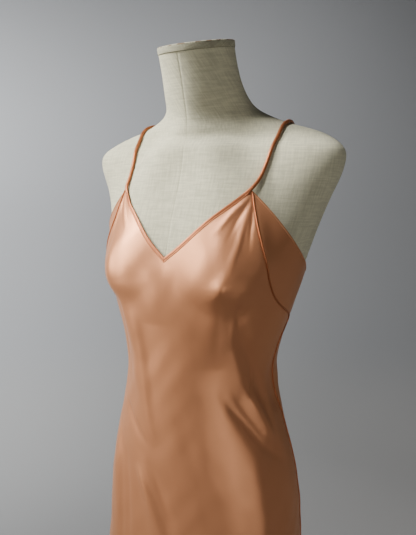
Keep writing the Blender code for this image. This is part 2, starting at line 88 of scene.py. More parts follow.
# Level sections of the form. Front and back are depths from a middle line that lies behind the axis.
FormSection = namedtuple("FormSection", "height half_width front back middle squareness lean")
FORM_SECTIONS = [FormSection(*row) for row in (
    (-0.600, 0.122, 0.090, 0.090, 0.005, 2.20, 0),
    (-0.592, 0.136, 0.104, 0.104, 0.005, 2.20, 0),
    (-0.530, 0.146, 0.111, 0.116, 0.005, 2.20, 0),
    (-0.450, 0.142, 0.110, 0.108, 0.004, 2.15, 0),
    (-0.370, 0.126, 0.106, 0.090, 0.001, 2.10, 0),
    (-0.300, 0.111, 0.101, 0.080, -0.003, 2.05, 0),
    (-0.250, 0.107, 0.098, 0.078, -0.005, 2.05, 0),
    (-0.200, 0.116, 0.098, 0.089, -0.005, 2.05, 0),
    (-0.150, 0.131, 0.102, 0.103, -0.002, 2.10, 0),
    (-0.100, 0.146, 0.110, 0.110, 0.006, 2.10, 0),
    (-0.050, 0.1615, 0.102, 0.114, 0.0105, 2.10, 0),
    (0.000, 0.181, 0.084, 0.110, 0.0135, 2.10, 0),
    (0.030, 0.194, 0.066, 0.098, 0.010, 2.10, 0),
    (0.049, 0.195, 0.057, 0.086, 0.010, 2.10, 0),
    (0.063, 0.182, 0.0535, 0.0765, 0.014, 2.05, 4),
    (0.076, 0.156, 0.0515, 0.0695, 0.0175, 2.00, 8),
    (0.088, 0.115, 0.051, 0.063, 0.015, 2.00, 10),
    (0.099, 0.087, 0.051, 0.059, 0.011, 2.00, 11),
    (0.112, 0.067, 0.051, 0.055, 0.003, 2.00, 11),
    (0.130, 0.058, 0.051, 0.053, -0.010, 2.00, 12),
    (0.154, 0.053, 0.051, 0.052, -0.022, 2.00, 13),
    (0.181, 0.0515, 0.0515, 0.0515, -0.033, 2.00, 14),
)]

# Soft mounds that lift the form off its sections.
Mound = namedtuple("Mound", "angle height spread reach_up reach_down rise")
BUST_LEFT = Mound(37, -0.122, 24, 0.066, 0.040, 0.026)
BUST_RIGHT = BUST_LEFT._replace(angle=-37)
FRONT_OF_NECK = Mound(0, 0.078, 36, 0.044, 0.050, 0.0305)
SIDES_OF_NECK = Mound(0, 0.078, 52, 0.044, 0.050, -0.0085)
BREASTBONE = Mound(0, -0.020, 37, 0.070, 0.070, 0.005)
SHOULDER_LEFT = Mound(32, 0.050, 19.6, 0.034, 0.082, 0.0125)
SHOULDER_RIGHT = SHOULDER_LEFT._replace(angle=-32)
ARM_SIDE_LEFT = Mound(66, 0.050, 12, 0.050, 0.060, -0.0100)
ARM_SIDE_RIGHT = ARM_SIDE_LEFT._replace(angle=-66)
MOUNDS = (
    BUST_LEFT, BUST_RIGHT, FRONT_OF_NECK, SIDES_OF_NECK, BREASTBONE,
    SHOULDER_LEFT, SHOULDER_RIGHT, ARM_SIDE_LEFT, ARM_SIDE_RIGHT,
)

# Level sections of the cloth where it hangs clear of the form.
ClothSection = namedtuple("ClothSection", "height half_width front back squareness")
CLOTH_SECTIONS = [ClothSection(*row) for row in (
    (-1.030, 0.235, 0.200, 0.196, 2.05),
    (-0.900, 0.214, 0.181, 0.180, 2.05),
    (-0.750, 0.188, 0.157, 0.162, 2.10),
    (-0.600, 0.163, 0.131, 0.142, 2.15),
    (-0.530, 0.155, 0.126, 0.132, 2.15),
    (-0.450, 0.150, 0.122, 0.117, 2.15),
    (-0.370, 0.136, 0.118, 0.096, 2.10),
    (-0.300, 0.118, 0.112, 0.087, 2.05),
    (-0.250, 0.111, 0.110, 0.087, 2.05),
    (-0.200, 0.122, 0.110, 0.096, 2.05),
    (-0.150, 0.137, 0.115, 0.107, 2.10),
    (-0.100, 0.147, 0.116, 0.109, 2.10),
    (-0.050, 0.150, 0.103, 0.106, 2.10),
    (0.020, 0.150, 0.062, 0.097, 2.10),
)]

# The largest folds, from one point of the cloth to another. Troughs have a rise below zero.
Fold = namedtuple("Fold", "top_angle top_height foot_angle foot_height width rise")
FOLD_FADE = 0.35
FOLDS = [Fold(*row) for row in (
    (44, -0.245, 88, -0.400, 0.014, -0.0040),
    (47, -0.165, 80, -0.330, 0.012, -0.0030),
    (62, -0.250, 84, -0.370, 0.014, 0.0030),
    (88, -0.225, 90, -0.320, 0.013, -0.0050),
    (106, -0.190, 106, -0.340, 0.014, 0.0025),
    (-26, -0.150, -22, -0.300, 0.016, 0.0025),
    (-20, -0.360, 4, -0.540, 0.015, 0.0030),
    (-50, -0.340, -43, -0.600, 0.020, 0.0035),
    (-88, -0.230, -90, -0.320, 0.012, -0.0040),
    (-112, -0.200, -102, -0.380, 0.016, 0.0040),
    (-150, -0.170, -118, -0.330, 0.015, -0.0035),
    (152, -0.180, 124, -0.330, 0.015, -0.0035),
    (168, -0.230, 150, -0.420, 0.016, 0.0030),
    (-170, -0.250, -146, -0.450, 0.016, 0.0030),
)]

# Flutes that open towards the hem.
Flute = namedtuple("Flute", "angle half_width rise start")
FLUTES = [Flute(*row) for row in (
    (-12, 0.042, 0.013, -0.50),
    (31, 0.036, 0.010, -0.58),
    (66, 0.044, 0.014, -0.46),
    (104, 0.036, 0.010, -0.55),
    (139, 0.044, 0.013, -0.48),
    (176, 0.038, 0.009, -0.60),
    (-147, 0.042, 0.013, -0.50),
    (-108, 0.036, 0.010, -0.57),
    (-71, 0.042, 0.013, -0.47),
    (-42, 0.030, 0.007, -0.64),
)]

# The smaller creases: points of (angle, height in mm, rise in mm), and how far the crease reaches on its
# left and on its right as one goes along it, in mm.
Crease = namedtuple("Crease", "points left right")
CREASES = [Crease(*row) for row in (
    # Gathers that fan out from the left strap.
    ([(50, -8, 0), (47.5, -15, 0.9), (39.8, -33, 1.5), (34, -49, 0.8), (29, -62, 0)], 3, 4),
    ([(50, -10, 0), (46.5, -26, -0.7), (42.5, -40, -1), (39.2, -56, -0.6), (36, -72, 0)], 2.5, 2.5),
    ([(50.4, -16, 0), (45.8, -44, 1.2), (42.8, -69, 1.6), (40.2, -86, 1.2), (37.5, -112, 0)], 3, 5),
    ([(50.9, -12, 0), (49.6, -38, -1.1), (48.2, -60, -0.9), (47.2, -80, 0)], 2.2, 2.4),
    # Down to the point of the left bust, and the point itself.
    ([(42.5, -68, 0), (40.2, -86, 0.8), (38, -105, 2), (36.4, -121, 3.7), (35.8, -131, 3.2),
      (35.8, -142, 1.1), (36, -155, 0)], 12, 14),
    ([(37.2, -102, 0), (35.6, -115, 1.7), (35.2, -124, 2), (35, -137, 0)], 5, 7),
    # Along the side seam, where the cloth is drawn flat from the bust to the piping.
    ([(51, -10, 0), (51.6, -34, 2.6), (53, -60, 3.8), (55.2, -86, 3), (59, -112, 0)], 11, 19),
    # Down to the point of the right bust.
    ([(-41.5, -60, 0), (-39, -82, 1.2), (-37, -104, 2.2), (-36.5, -122, 2.2), (-37, -150, 0)], 9, 9),
    # The same from the right strap.
    ([(-50, -9, 0), (-48.2, -22, -1.2), (-45, -34, -1), (-41, -46, 0)], 2, 2),
    ([(-49.5, -10, 0), (-43, -30, 1.1), (-36, -48, 0.7), (-31, -60, 0)], 4, 3),
    ([(-50.6, -18, 0), (-48.4, -48, 1.2), (-45, -78, 0.8), (-42, -100, 0)], 4, 3),
    # The cloth spans the hollow under each bust.
    ([(36, -128, 0), (36, -146, 3.5), (36.5, -162, 6.5), (37, -182, 5.5), (38, -205, 3),
      (39, -235, 0)], 15, 20),
    ([(-33, -126, 0), (-32, -146, 4.2), (-31, -162, 7.4), (-30, -182, 6.2), (-29, -205, 3.2),
      (-28, -235, 0)], 27, 17),
    # The cloth spans the hollow between the busts.
    ([(-4, -94, 0), (-6, -112, 2.6), (-8, -130, 4.2), (-9, -150, 3.4), (-9, -180, 0)], 28, 24),
    # Under the bust and down to the waist.
    ([(46.2, -143, 0), (47.2, -155, -1.3), (48.6, -175, -1.2), (49.5, -198, 0)], 3, 3),
    ([(43.5, -125, 0), (45.2, -145, 1.2), (47.2, -170, 1.8), (48, -195, 1.5), (49, -225, 0)], 4, 11),
    ([(48.5, -158, 0), (53, -186, -1.8), (60, -213, -2.6), (67.5, -243, -2.4), (74, -280, -2),
      (78.5, -325, -1.2), (80, -355, 0)], 6, 7),
    ([(62.8, -226, 0), (63.8, -240, -1.5), (64.5, -256, -1.7), (63, -270, -1.1),
      (62.4, -282, 0)], 2.6, 3),
    ([(-45, -190, 0), (-44, -222, -1.4), (-46, -255, -1.6), (-48, -290, 0)], 6, 6),
    ([(-25, -165, 0), (-22, -192, 1.8), (-19, -230, 3), (-16, -275, 3.4), (-12.5, -312, 2.8),
      (-8, -338, 1), (-5, -352, 0)], 9, 25),
    ([(-44, -300, 0), (-37, -312, -1.6), (-29, -325, -2.2), (-20, -340, -1.6), (-11, -356, 0)], 5, 9),
    # From the hips down, on the front.
    ([(40, -262, 0), (46, -282, -1.4), (53, -304, -2.4), (60.5, -325, -2.8), (68.2, -347, -2.4),
      (77, -366, -1.2), (84, -380, 0)], 4.5, 8),
    ([(49, -205, 0), (54.5, -236, 1.9), (61, -264, 2.7), (67.5, -293, 2.9), (73.5, -325, 2.1),
      (80, -357, 0)], 7, 14),
    ([(52, -318, 0), (59, -345, 1.4), (61.5, -385, 2), (62.5, -430, 2), (64, -480, 1.7),
      (68, -560, 0)], 12, 18),
    ([(-52, -340, 0), (-46, -368, 2.2), (-42, -405, 3.2), (-39.5, -450, 3.2), (-38, -500, 2.6),
      (-37, -580, 0)], 5, 14),
    ([(-36, -370, 0), (-32.5, -405, -1.2), (-30, -450, -1.6), (-28.5, -500, -1.2), (-28, -560, 0)], 7, 5),
    ([(-22, -385, 0), (-17.5, -399, 2), (-12, -416, 2.8), (-7.2, -436, 3), (-2.5, -457, 2.8),
      (3, -490, 2), (10, -560, 0)], 4.5, 9),
    ([(-14, -375, 0), (-8, -390, -1.2), (-1.5, -416, -1.6), (4, -445, -1.4), (10, -480, 0)], 9, 6),
    ([(12, -300, 0), (18, -340, -1), (27, -390, -1.2), (36, -450, -0.8), (42, -510, 0)], 12, 12),
    # Across the hollow of the back, and down from it.
    ([(140, -136, 0), (134, -165, 1.2), (122, -215, 1.6), (108, -262, 1), (98, -290, 0)], 6, 8),
    ([(-142, -136, 0), (-136, -170, 1.3), (-120, -225, 1.5), (-104, -270, 0)], 8, 6),
    ([(172, -150, 0), (164, -190, -1.2), (150, -240, -1.8), (132, -285, -1.3), (114, -315, 0)], 7, 7),
    ([(-170, -155, 0), (-160, -205, -1.4), (-144, -255, -1.8), (-124, -300, 0)], 7, 8),
    ([(170, -255, 0), (178, -268, -1.6), (-174, -270, -1.5), (-166, -262, 0)], 6, 6),
    ([(158, -236, 0), (170, -246, 1), (-176, -244, 1.2), (-162, -238, 0)], 5, 5),
    ([(176, -300, 0), (166, -345, 1.6), (156, -400, 1.8), (150, -470, 1.2), (146, -540, 0)], 8, 10),
    ([(-150, -330, 0), (-142, -380, -1.3), (-132, -440, -1.5), (-125, -510, 0)], 10, 9),
    ([(128, -300, 0), (122, -345, -1.6), (112, -395, -1.5), (104, -450, 0)], 8, 8),
    ([(-116, -290, 0), (-108, -335, 1.4), (-100, -380, 1.6), (-94, -440, 0)], 8, 8),
    # At the wearer's right side.
    ([(-60, -150, 0), (-68, -190, -1.3), (-78, -232, -1.8), (-85, -270, 0)], 6, 8),
    ([(-52, -205, 0), (-60, -245, 1), (-70, -290, 1.5), (-80, -330, 0)], 7, 7),
    # Long soft lines in the skirt.
    ([(24, -560, 0), (29, -640, 1.4), (33, -760, 1.8), (35, -880, 0.8), (36, -960, 0)], 12, 12),
    ([(-20, -540, 0), (-24, -640, -1.6), (-28, -760, -2), (-30, -900, 0)], 13, 13),
    ([(84, -520, 0), (88, -620, 1.6), (92, -740, 1.8), (94, -880, 0)], 12, 12),
    ([(-90, -560, 0), (-88, -660, -1.6), (-86, -780, -1.8), (-85, -920, 0)], 12, 12),
    ([(160, -560, 0), (158, -660, -1.5), (157, -790, -1.8), (158, -920, 0)], 13, 13),
    ([(-166, -600, 0), (-170, -700, 1.2), (-172, -820, 1.4), (-172, -940, 0)], 12, 12),
    ([(120, -600, 0), (121, -700, -1.2), (123, -830, -1.5), (124, -950, 0)], 11, 11),
)]
CREASE_STEPS = 28
CREASE_REACH = 3  # how many widths away a crease is still felt

# The side seam, as (height, angle).
SIDE_SEAM = (
    (-1.030, 96.0), (-0.600, 100.5), (-0.440, 101.5), (-0.330, 98.0), (-0.260, 93.0), (-0.215, 92.0),
    (-0.196, 94.5), (-0.182, 98.0), (-0.172, 93.5), (-0.160, 82.5), (-0.145, 72.0), (-0.120, 62.4),
    (-0.090, 56.2), (-0.060, 52.8), (-0.030, 51.3), (0.000, 51.2),
)

# The upper edges of the cloth, as (angle from the front, height).
NECKLINE = (
    (0, -0.0902), (9.7, -0.0738), (19, -0.0552), (28.2, -0.0372), (37.2, -0.0222), (46.4, -0.0066),
    (54, 0.0065),
)
BACK_EDGE = (
    (51.2, -0.0045), (55, -0.0165), (59.6, -0.0310), (68.4, -0.0570), (78, -0.0790), (90, -0.0980),
    (100, -0.1100), (120, -0.1240), (150, -0.1330), (180, -0.1350),
)

# How finely the pieces are divided.
FRONT_COLUMNS = 140
BACK_COLUMNS = 156
BODICE_ROWS = 140
SKIRT_ROWS = 88
BODICE_FOOT = -0.370
COLUMN_CROWDING = 0.26
TURNED_EDGE = (0, 0.0004, 0.0009, 0.0015, 0.0021, 0.0026, 0.0029, 0.0032, 0.0036, 0.0044)
HEM_ROWS = (1.45, 1.2, 1.06, 1.0, 0.94, 0.86, 0.6, 0.3, 0.1, 0.0)  # in hem depths above the edge
ROW_GAP = 0.0012
HEM_ROW_GAP = 0.0020
FORM_COLUMNS = 224
FORM_ROWS = 216
TRIM_SIDES = 40
TRIM_STEPS = 300
PIPING_SIDES = 16
PIPING_STEPS = 420
ROUND_SIDES = 96


def natural_spline(knots, rows):
    """A function that runs smoothly through the rows, each at its own knot."""
    knots = np.asarray(knots, float)
    rows = np.asarray(rows, float).reshape(len(knots), -1)
    steps = np.diff(knots)
    system = np.eye(len(knots))
    target = np.zeros_like(rows)
    for i in range(1, len(knots) - 1):
        system[i, i - 1 : i + 2] = steps[i - 1], 2 * (steps[i - 1] + steps[i]), steps[i]
        target[i] = 6 * ((rows[i + 1] - rows[i]) / steps[i] - (rows[i] - rows[i - 1]) / steps[i - 1])
    bends = np.linalg.solve(system, target)

    def value(at):
        at = np.clip(np.asarray(at, float), knots[0], knots[-1])
        i = np.clip(np.searchsorted(knots, at) - 1, 0, len(steps) - 1)
        step = steps[i][..., None]
        low = (knots[i + 1] - at)[..., None] / step
        high = 1 - low
        straight = low * rows[i] + high * rows[i + 1]
        return straight + ((low**3 - low) * bends[i] + (high**3 - high) * bends[i + 1]) * step**2 / 6

    return value


def table_spline(table):
    """The table's other columns as a function of its first."""
    return natural_spline([row[0] for row in table], [row[1:] for row in table])


form_widths = np.array([[row.height, row.half_width] for row in FORM_SECTIONS])
form_runs = np.concatenate([[0], np.cumsum(np.hypot(*np.diff(form_widths, axis=0).T))])
form_row = natural_spline(form_runs, FORM_SECTIONS)
fine_runs = np.linspace(0, form_runs[-1], PROFILE_STEPS)
fine_heights = form_row(fine_runs)[:, 0]
cloth_row = table_spline(CLOTH_SECTIONS)
seam_row = table_spline(SIDE_SEAM)
neckline_row = table_spline(NECKLINE)
back_edge_row = table_spline(BACK_EDGE)


def wrapped(angle):
    """An angle brought between -180 and 180."""
    return (angle + 180) % 360 - 180


def smooth_step(value):
    value = np.clip(value, 0, 1)
    return value * value * (3 - 2 * value)


def larger(first, second, knee):
    """The larger of two values, with a soft knee where they cross."""
    return (first + second + np.sqrt((first - second) ** 2 + knee**2)) / 2


def ring_radius(angle, half_width, front, back, squareness):
    """How far a rounded section reaches at an angle."""
    turn = np.radians(angle)
    depth = np.where(np.cos(turn) > 0, front, back)
    across = np.abs(np.sin(turn) / half_width) ** squareness
    along = np.abs(np.cos(turn) / depth) ** squareness
    return (across + along) ** (-1 / squareness)


def mound_rise(angle, height):
    """How far the mounds lift the form off its sections."""
    rise = 0
    for mound in MOUNDS:
        above = height - mound.height
        level = (above / np.where(above > 0, mound.reach_up, mound.reach_down)) ** 2
        rise = rise + mound.rise * np.exp(-((wrapped(angle - mound.angle) / mound.spread) ** 2) - level)
    return rise


def form_section(height):
    """The form's section at a height, as its table's columns."""
    return form_row(np.interp(height, fine_heights, fine_runs))


def section_radius(section, angle):
    radius = ring_radius(angle, section[..., 1], section[..., 2], section[..., 3], section[..., 5])
    return radius + mound_rise(angle, section[..., 0])


def section_point(section, angle, sunk=0):
    """The point of the form's surface at an angle of a section."""
    radius = section_radius(section, angle) - sunk
    turn = np.radians(angle)
    lean = np.radians(section[..., 6])
    depth = -radius * np.cos(turn)
    y = section[..., 4] + depth * np.cos(lean)
    z = APEX_HEIGHT + section[..., 0] + depth * np.sin(lean)
    return np.stack(np.broadcast_arrays(radius * np.sin(turn), y, z), axis=-1)


def form_surface(angle, height):
    return section_point(form_section(height), angle)


def fold_rise(angle, height):
    """How far the folds and flutes lift the cloth off its plain sections."""
    rise = np.zeros(np.broadcast(angle, height).shape)
    for fold in FOLDS:
        metres = math.radians(1) * float(cloth_row((fold.top_height + fold.foot_height) / 2)[0])
        across = metres * wrapped(angle - fold.top_angle)
        down = fold.top_height - height
        run_across = metres * (fold.foot_angle - fold.top_angle)
        run_down = fold.top_height - fold.foot_height
        length = math.hypot(run_across, run_down)
        along = (across * run_across + down * run_down) / length**2
        aside = (across * run_down - down * run_across) / length
        fade = smooth_step(along / FOLD_FADE) * smooth_step((1 - along) / FOLD_FADE)
        rise = rise + fold.rise * fade * np.exp(-((aside / fold.width) ** 2))
    hem_radius = CLOTH_SECTIONS[0].half_width
    for flute in FLUTES:
        open_part = smooth_step((flute.start - height) / (flute.start + DRESS_LENGTH))
        half_angle = math.degrees(flute.half_width / hem_radius)
        turn = wrapped(angle - flute.angle) / half_angle
        rise = rise + flute.rise * open_part * np.exp(-(turn**2))
    return rise


def crease_rise(angle, height):
    """How far the smaller creases lift the cloth, each along its own curved line."""
    angle, height = np.broadcast_arrays(np.asarray(angle, float), np.asarray(height, float))
    shape = angle.shape
    angle, height = angle.reshape(-1), height.reshape(-1)
    metres = math.radians(1) * cloth_row(height)[..., 0]
    rise = np.zeros(angle.shape)
    for crease in CREASES:
        points = np.array(crease.points, float)
        points[:, 1] /= 1000
        middle = points[len(points) // 2, 0]
        turns = wrapped(points[:, 0] - middle)
        line = natural_spline(np.arange(len(points)), np.column_stack([turns, points[:, 1:]]))
        line = line(np.linspace(0, len(points) - 1, CREASE_STEPS))
        line[:, 0] *= math.radians(1) * cloth_row(line[:, 1])[:, 0]
        across = metres * wrapped(angle - middle)
        reach = CREASE_REACH / 1000 * max(crease.left, crease.right)
        near = (across > line[:, 0].min() - reach) & (across < line[:, 0].max() + reach)
        near &= (height > line[:, 1].min() - reach) & (height < line[:, 1].max() + reach)
        if not near.any():
            continue
        place = np.column_stack([across[near], height[near]])[:, None]
        start, run = line[None, :-1, :2], np.diff(line[:, :2], axis=0)[None]
        share = np.clip(((place - start) * run).sum(-1) / (run**2).sum(-1), 0, 1)
        away = place - start - share[..., None] * run
        nearest = np.hypot(away[..., 0], away[..., 1]).argmin(axis=1)
        row = np.arange(len(nearest))
        away, share, run = away[row, nearest], share[row, nearest], run[0][nearest]
        side = run[:, 0] * away[:, 1] - run[:, 1] * away[:, 0]
        width = np.where(side > 0, crease.left, crease.right) / 1000
        lift = line[nearest, 2] + share * (line[nearest + 1, 2] - line[nearest, 2])
        rise[near] += lift / 1000 * np.exp(-(away**2).sum(-1) / width**2)
    return rise.reshape(shape)


RIPPLE_SEED = 11
RIPPLE_COUNT = 30
RIPPLE_HEIGHT = 0.00005
_waves = np.random.default_rng(RIPPLE_SEED)
ripple_turns = _waves.integers(3, 24, RIPPLE_COUNT)
ripple_runs = _waves.uniform(-160, 160, RIPPLE_COUNT)
ripple_phases = _waves.uniform(0, 2 * math.pi, RIPPLE_COUNT)


def ripple_rise(angle, height):
    """The slight unevenness of cloth that has hung for a while."""
    turn = np.radians(np.asarray(angle, float))
    rise = 0
    for turns, run, phase in zip(ripple_turns, ripple_runs, ripple_phases):
        rise = rise + np.sin(turns * turn + run * height + phase)
    return RIPPLE_HEIGHT * rise


def hung_angle(angle, height):
    """The angle where a point of the dress hangs: its top has crept round towards the left."""
    share = smooth_step((height - TOP_SHIFT_FOOT) / -TOP_SHIFT_FOOT)
    return angle + TOP_SHIFT_ANGLE * share * np.sin(np.radians(angle)) ** 2


def cloth_point(angle, height, lift=0):
    """The point on the inside of the cloth at an angle and a height, or that far outside it."""
    creases = crease_rise(angle, height) + ripple_rise(angle, height)
    angle = hung_angle(angle, height)
    section = form_section(height)
    hang = cloth_row(height)
    tight = section_radius(section, angle) + EASE
    loose = ring_radius(angle, hang[..., 0], hang[..., 1], hang[..., 2], hang[..., 3]) - CLOTH_REACH
    radius = larger(tight, loose + fold_rise(angle, height), KNEE)
    radius = larger(tight - CREASE_ROOM, radius + creases, CREASE_KNEE) + lift
    turn = np.radians(angle)
    y = section[..., 4] - radius * np.cos(turn)
    return np.stack(np.broadcast_arrays(radius * np.sin(turn), y, APEX_HEIGHT + height), axis=-1)


def surface_normal(surface, angle, height):
    """The outward unit normal of a surface that is a function of angle and height."""
    step_angle = 0.05
    step_height = 0.0001
    round_way = surface(angle + step_angle, height) - surface(angle - step_angle, height)
    up_way = surface(angle, height + step_height) - surface(angle, height - step_height)
    return unit(np.cross(round_way, up_way))


def unit(vectors):
    return vectors / np.linalg.norm(vectors, axis=-1, keepdims=True)


def seam_angle(height):
    return seam_row(height)[..., 0]


def seam_slope(height):
    """How steeply the side seam runs sideways."""
    step = 0.0005
    turn = np.radians(seam_angle(height + step) - seam_angle(height - step))
    return turn * cloth_row(height)[..., 0] / (2 * step)


def seam_margin(height):
    """Half the seam's gap, as degrees along a level row."""
    return np.degrees(SEAM_GAP / 2 * np.sqrt(1 + seam_slope(height) ** 2) / cloth_row(height)[..., 0])


def neckline_height(angle):
    return neckline_row(np.abs(angle))[..., 0]


def binding_depth(angle, width):
    """How far below the neckline a line lies that runs at this width from it."""
    step = 0.5
    level = np.maximum(np.abs(angle), step)
    climb = neckline_height(level + step) - neckline_height(level - step)
    slope = climb / (2 * math.radians(step) * NECKLINE_RADIUS)
    return width * np.sqrt(1 + slope**2)


def back_edge_height(angle):
    """The height of the low back edge, from one strap round the back to the other."""
    return back_edge_row(180 - np.abs(angle - 180))[..., 0]


def strap_run(side, front, steps):
    """Angles and heights of a strap from its end on the front or back up to the shoulder's ridge."""
    foot_height = STRAP_FRONT_HEIGHT if front else STRAP_BACK_HEIGHT
    foot_x = STRAP_FRONT_X + side * TOP_SHIFT_X if front else STRAP_BACK_X
    top_x = STRAP_TOP_X + side * TOP_SHIFT_X
    shoulder = fine_heights > WIDEST_HEIGHT
    widths = form_row(fine_runs[shoulder])[:, 1]
    ridge = np.interp(-top_x, -widths, fine_heights[shoulder])
    heights = foot_height + (ridge - foot_height) * np.sin(np.linspace(0, math.pi / 2, steps))
    climb = (heights - foot_height) / (ridge - foot_height)
    lean = 0 if front else STRAP_LEAN * np.sqrt(np.clip(1 - climb, 0, 1)) * climb**3
    x = foot_x + (top_x - foot_x) * np.sin(math.pi / 2 * climb) - lean
    from_middle = np.linspace(0, 90, STRAP_TRIES)
    turns = from_middle if front else 180 - from_middle
    reaches = section_radius(form_section(heights)[:, None], side * turns) * np.sin(np.radians(turns))
    angles = [np.interp(at, np.maximum.accumulate(reach), turns) for at, reach in zip(x, reaches)]
    return side * np.array(angles), heights


# Settings that a user would change.


class DressSettings(bpy.types.PropertyGroup):
    """Sizes and colours of the dress."""

    satin: bpy.props.FloatVectorProperty(
        name="Satin", description="Colour of the satin",
        subtype="COLOR", size=3, min=0, max=1, default=(0.575, 0.249, 0.123),
    )
    trim: bpy.props.FloatVectorProperty(
        name="Trim", description="Colour of the bindings, pipings and straps",
        subtype="COLOR", size=3, min=0, max=1, default=(0.40, 0.140, 0.062),
    )
    thread: bpy.props.FloatVectorProperty(
        name="Thread", description="Colour of the sewing thread",
        subtype="COLOR", size=3, min=0, max=1, default=(0.56, 0.27, 0.15),
    )
    cloth: bpy.props.FloatProperty(
        name="Cloth", description="Thickness of the satin",
        unit="LENGTH", min=0.0003, max=0.001, default=0.0006,
    )
    piping: bpy.props.FloatProperty(
        name="Piping", description="Radius of the piping",
        unit="LENGTH", min=0.0006, max=0.0014, default=0.0011,
    )
    stitch: bpy.props.FloatProperty(
        name="Stitch", description="Length of one stitch",
        unit="LENGTH", min=0.0015, max=0.005, default=0.0024,
    )
    hem: bpy.props.FloatProperty(
        name="Hem", description="Depth of the turned hem",
        unit="LENGTH", min=0.004, max=0.012, default=0.0070,
    )


class FormSettings(bpy.types.PropertyGroup):
    """Sizes and colours of the dress form and its stand."""

    linen: bpy.props.FloatVectorProperty(
        name="Linen", description="Colour of the linen cover",
        subtype="COLOR", size=3, min=0, max=1, default=(0.640, 0.620, 0.445),
    )
    steel: bpy.props.FloatVectorProperty(
        name="Steel", description="Colour of the pole and its collar",
        subtype="COLOR", size=3, min=0, max=1, default=(0.56, 0.56, 0.55),
    )
    paint: bpy.props.FloatVectorProperty(
        name="Paint", description="Colour of the base plate",
        subtype="COLOR", size=3, min=0, max=1, default=(0.055, 0.054, 0.052),
    )
    seam: bpy.props.FloatProperty(
        name="Seam", description="Depth of the cover's seams",
        unit="LENGTH", min=0, max=0.002, default=0.0004,
    )


class StudioSettings(bpy.types.PropertyGroup):
    """The floor, the light and the camera."""

    floor: bpy.props.FloatVectorProperty(
        name="Floor", description="Colour of the floor",
        subtype="COLOR", size=3, min=0, max=1, default=(0.29, 0.285, 0.28),
    )
    wall: bpy.props.FloatVectorProperty(
        name="Wall", description="Colour of the wall behind",
        subtype="COLOR", size=3, min=0, max=1, default=(0.268, 0.268, 0.272),
    )
    key: bpy.props.FloatProperty(
        name="Window light", description="Power of the main light",
        unit="POWER", min=0, max=2000, default=7.6,
    )
    wash: bpy.props.FloatProperty(
        name="Wall light", description="Power of the side light on the wall",
        unit="POWER", min=0, max=2000, default=84.0,
    )
    room: bpy.props.FloatProperty(
        name="Front light", description="Power of the soft light in front",
        unit="POWER", min=0, max=2000, default=2.9,
    )
    fill: bpy.props.FloatProperty(
        name="Room light", description="Strength of the light from all round", min=0, max=2, default=0.002
    )


# Helpers for meshes.


def deselect_all():
    if bpy.context.object and bpy.context.object.mode != "OBJECT":
        bpy.ops.object.mode_set(mode="OBJECT")
    bpy.ops.object.select_all(action="DESELECT")


def pick(obj):
    """Makes this the only selected object, and the active one."""
    deselect_all()
    obj.select_set(True)
    bpy.context.view_layer.objects.active = obj


def start_editing():
    bpy.ops.object.mode_set(mode="EDIT")


def stop_editing():
    """Leaves edit mode with nothing selected."""
    bpy.ops.mesh.select_all(action="DESELECT")
    bpy.ops.object.mode_set(mode="OBJECT")


def name_piece(obj, name, slot, *nodes):
    """Names a finished piece, hangs it on the body and lets it stand for its CAD nodes."""
    obj.name = name
    obj.data.name = name
    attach(obj, BODY)
    if nodes:
        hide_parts(*nodes)
    return obj


def run_lengths(points, axis):
    """How far along an axis of a grid or line each point lies, in metres over the surface."""
    steps = np.linalg.norm(np.diff(points, axis=axis), axis=-1)
    start = np.zeros_like(np.take(steps, [0], axis=axis))
    return np.concatenate([start, np.cumsum(steps, axis=axis)], axis=axis)


def grid_piece(points, unroll):
    """A grid primitive laid on the points, row by row from the top, with its unrolled place as UV."""
    rows, columns = points.shape[:2]
    deselect_all()
    bpy.ops.mesh.primitive_grid_add(x_subdivisions=columns - 1, y_subdivisions=rows - 1, size=1)
    obj = bpy.context.active_object
    mesh = obj.data
    # The primitive's first row is the points' last.
    mesh.vertices.foreach_set("co", points[::-1].reshape(-1))
    corners = np.empty(len(mesh.loops), int)
    mesh.loops.foreach_get("vertex_index", corners)
    places = unroll[::-1].reshape(-1, 2)[corners]
    mesh.uv_layers.active.data.foreach_set("uv", places.reshape(-1))
    mesh.update()
    return obj


def apply_modifier(obj, kind, **values):
    """Adds a modifier with these values and applies it."""
    pick(obj)
    modifier = obj.modifiers.new(kind.title(), kind)
    for key, value in values.items():
        setattr(modifier, key, value)
    bpy.ops.object.modifier_apply(modifier=modifier.name)


def shade(obj, degrees):
    """Smooth shading, apart from edges sharper than this."""
    pick(obj)
    bpy.ops.object.shade_smooth_by_angle(angle=math.radians(degrees))


def select_faces(obj, test):
    """Selects the faces whose centre and normal pass the test."""
    mesh = obj.data
    for part in (*mesh.vertices, *mesh.edges):
        part.select = False
    for face in mesh.polygons:
        face.select = test(face.center, face.normal)


def select_edges(obj, test):
    """Selects the edges whose two ends pass the test."""
    mesh = obj.data
    for part in (*mesh.polygons, *mesh.vertices):
        part.select = False
    for edge in mesh.edges:
        edge.select = all(test(mesh.vertices[i].co) for i in edge.vertices)


def close_tube(obj):
    """Sews a rolled-up grid along its length and closes its ends."""
    pick(obj)
    start_editing()
    bpy.ops.mesh.select_all(action="SELECT")
    bpy.ops.mesh.remove_doubles(threshold=0.000001)
    bpy.ops.mesh.select_all(action="DESELECT")
    bpy.ops.mesh.select_mode(type="EDGE")
    bpy.ops.mesh.select_non_manifold()
    bpy.ops.mesh.fill_holes(sides=0)
    bpy.ops.mesh.select_all(action="SELECT")
    bpy.ops.mesh.normals_make_consistent(inside=False)
    stop_editing()


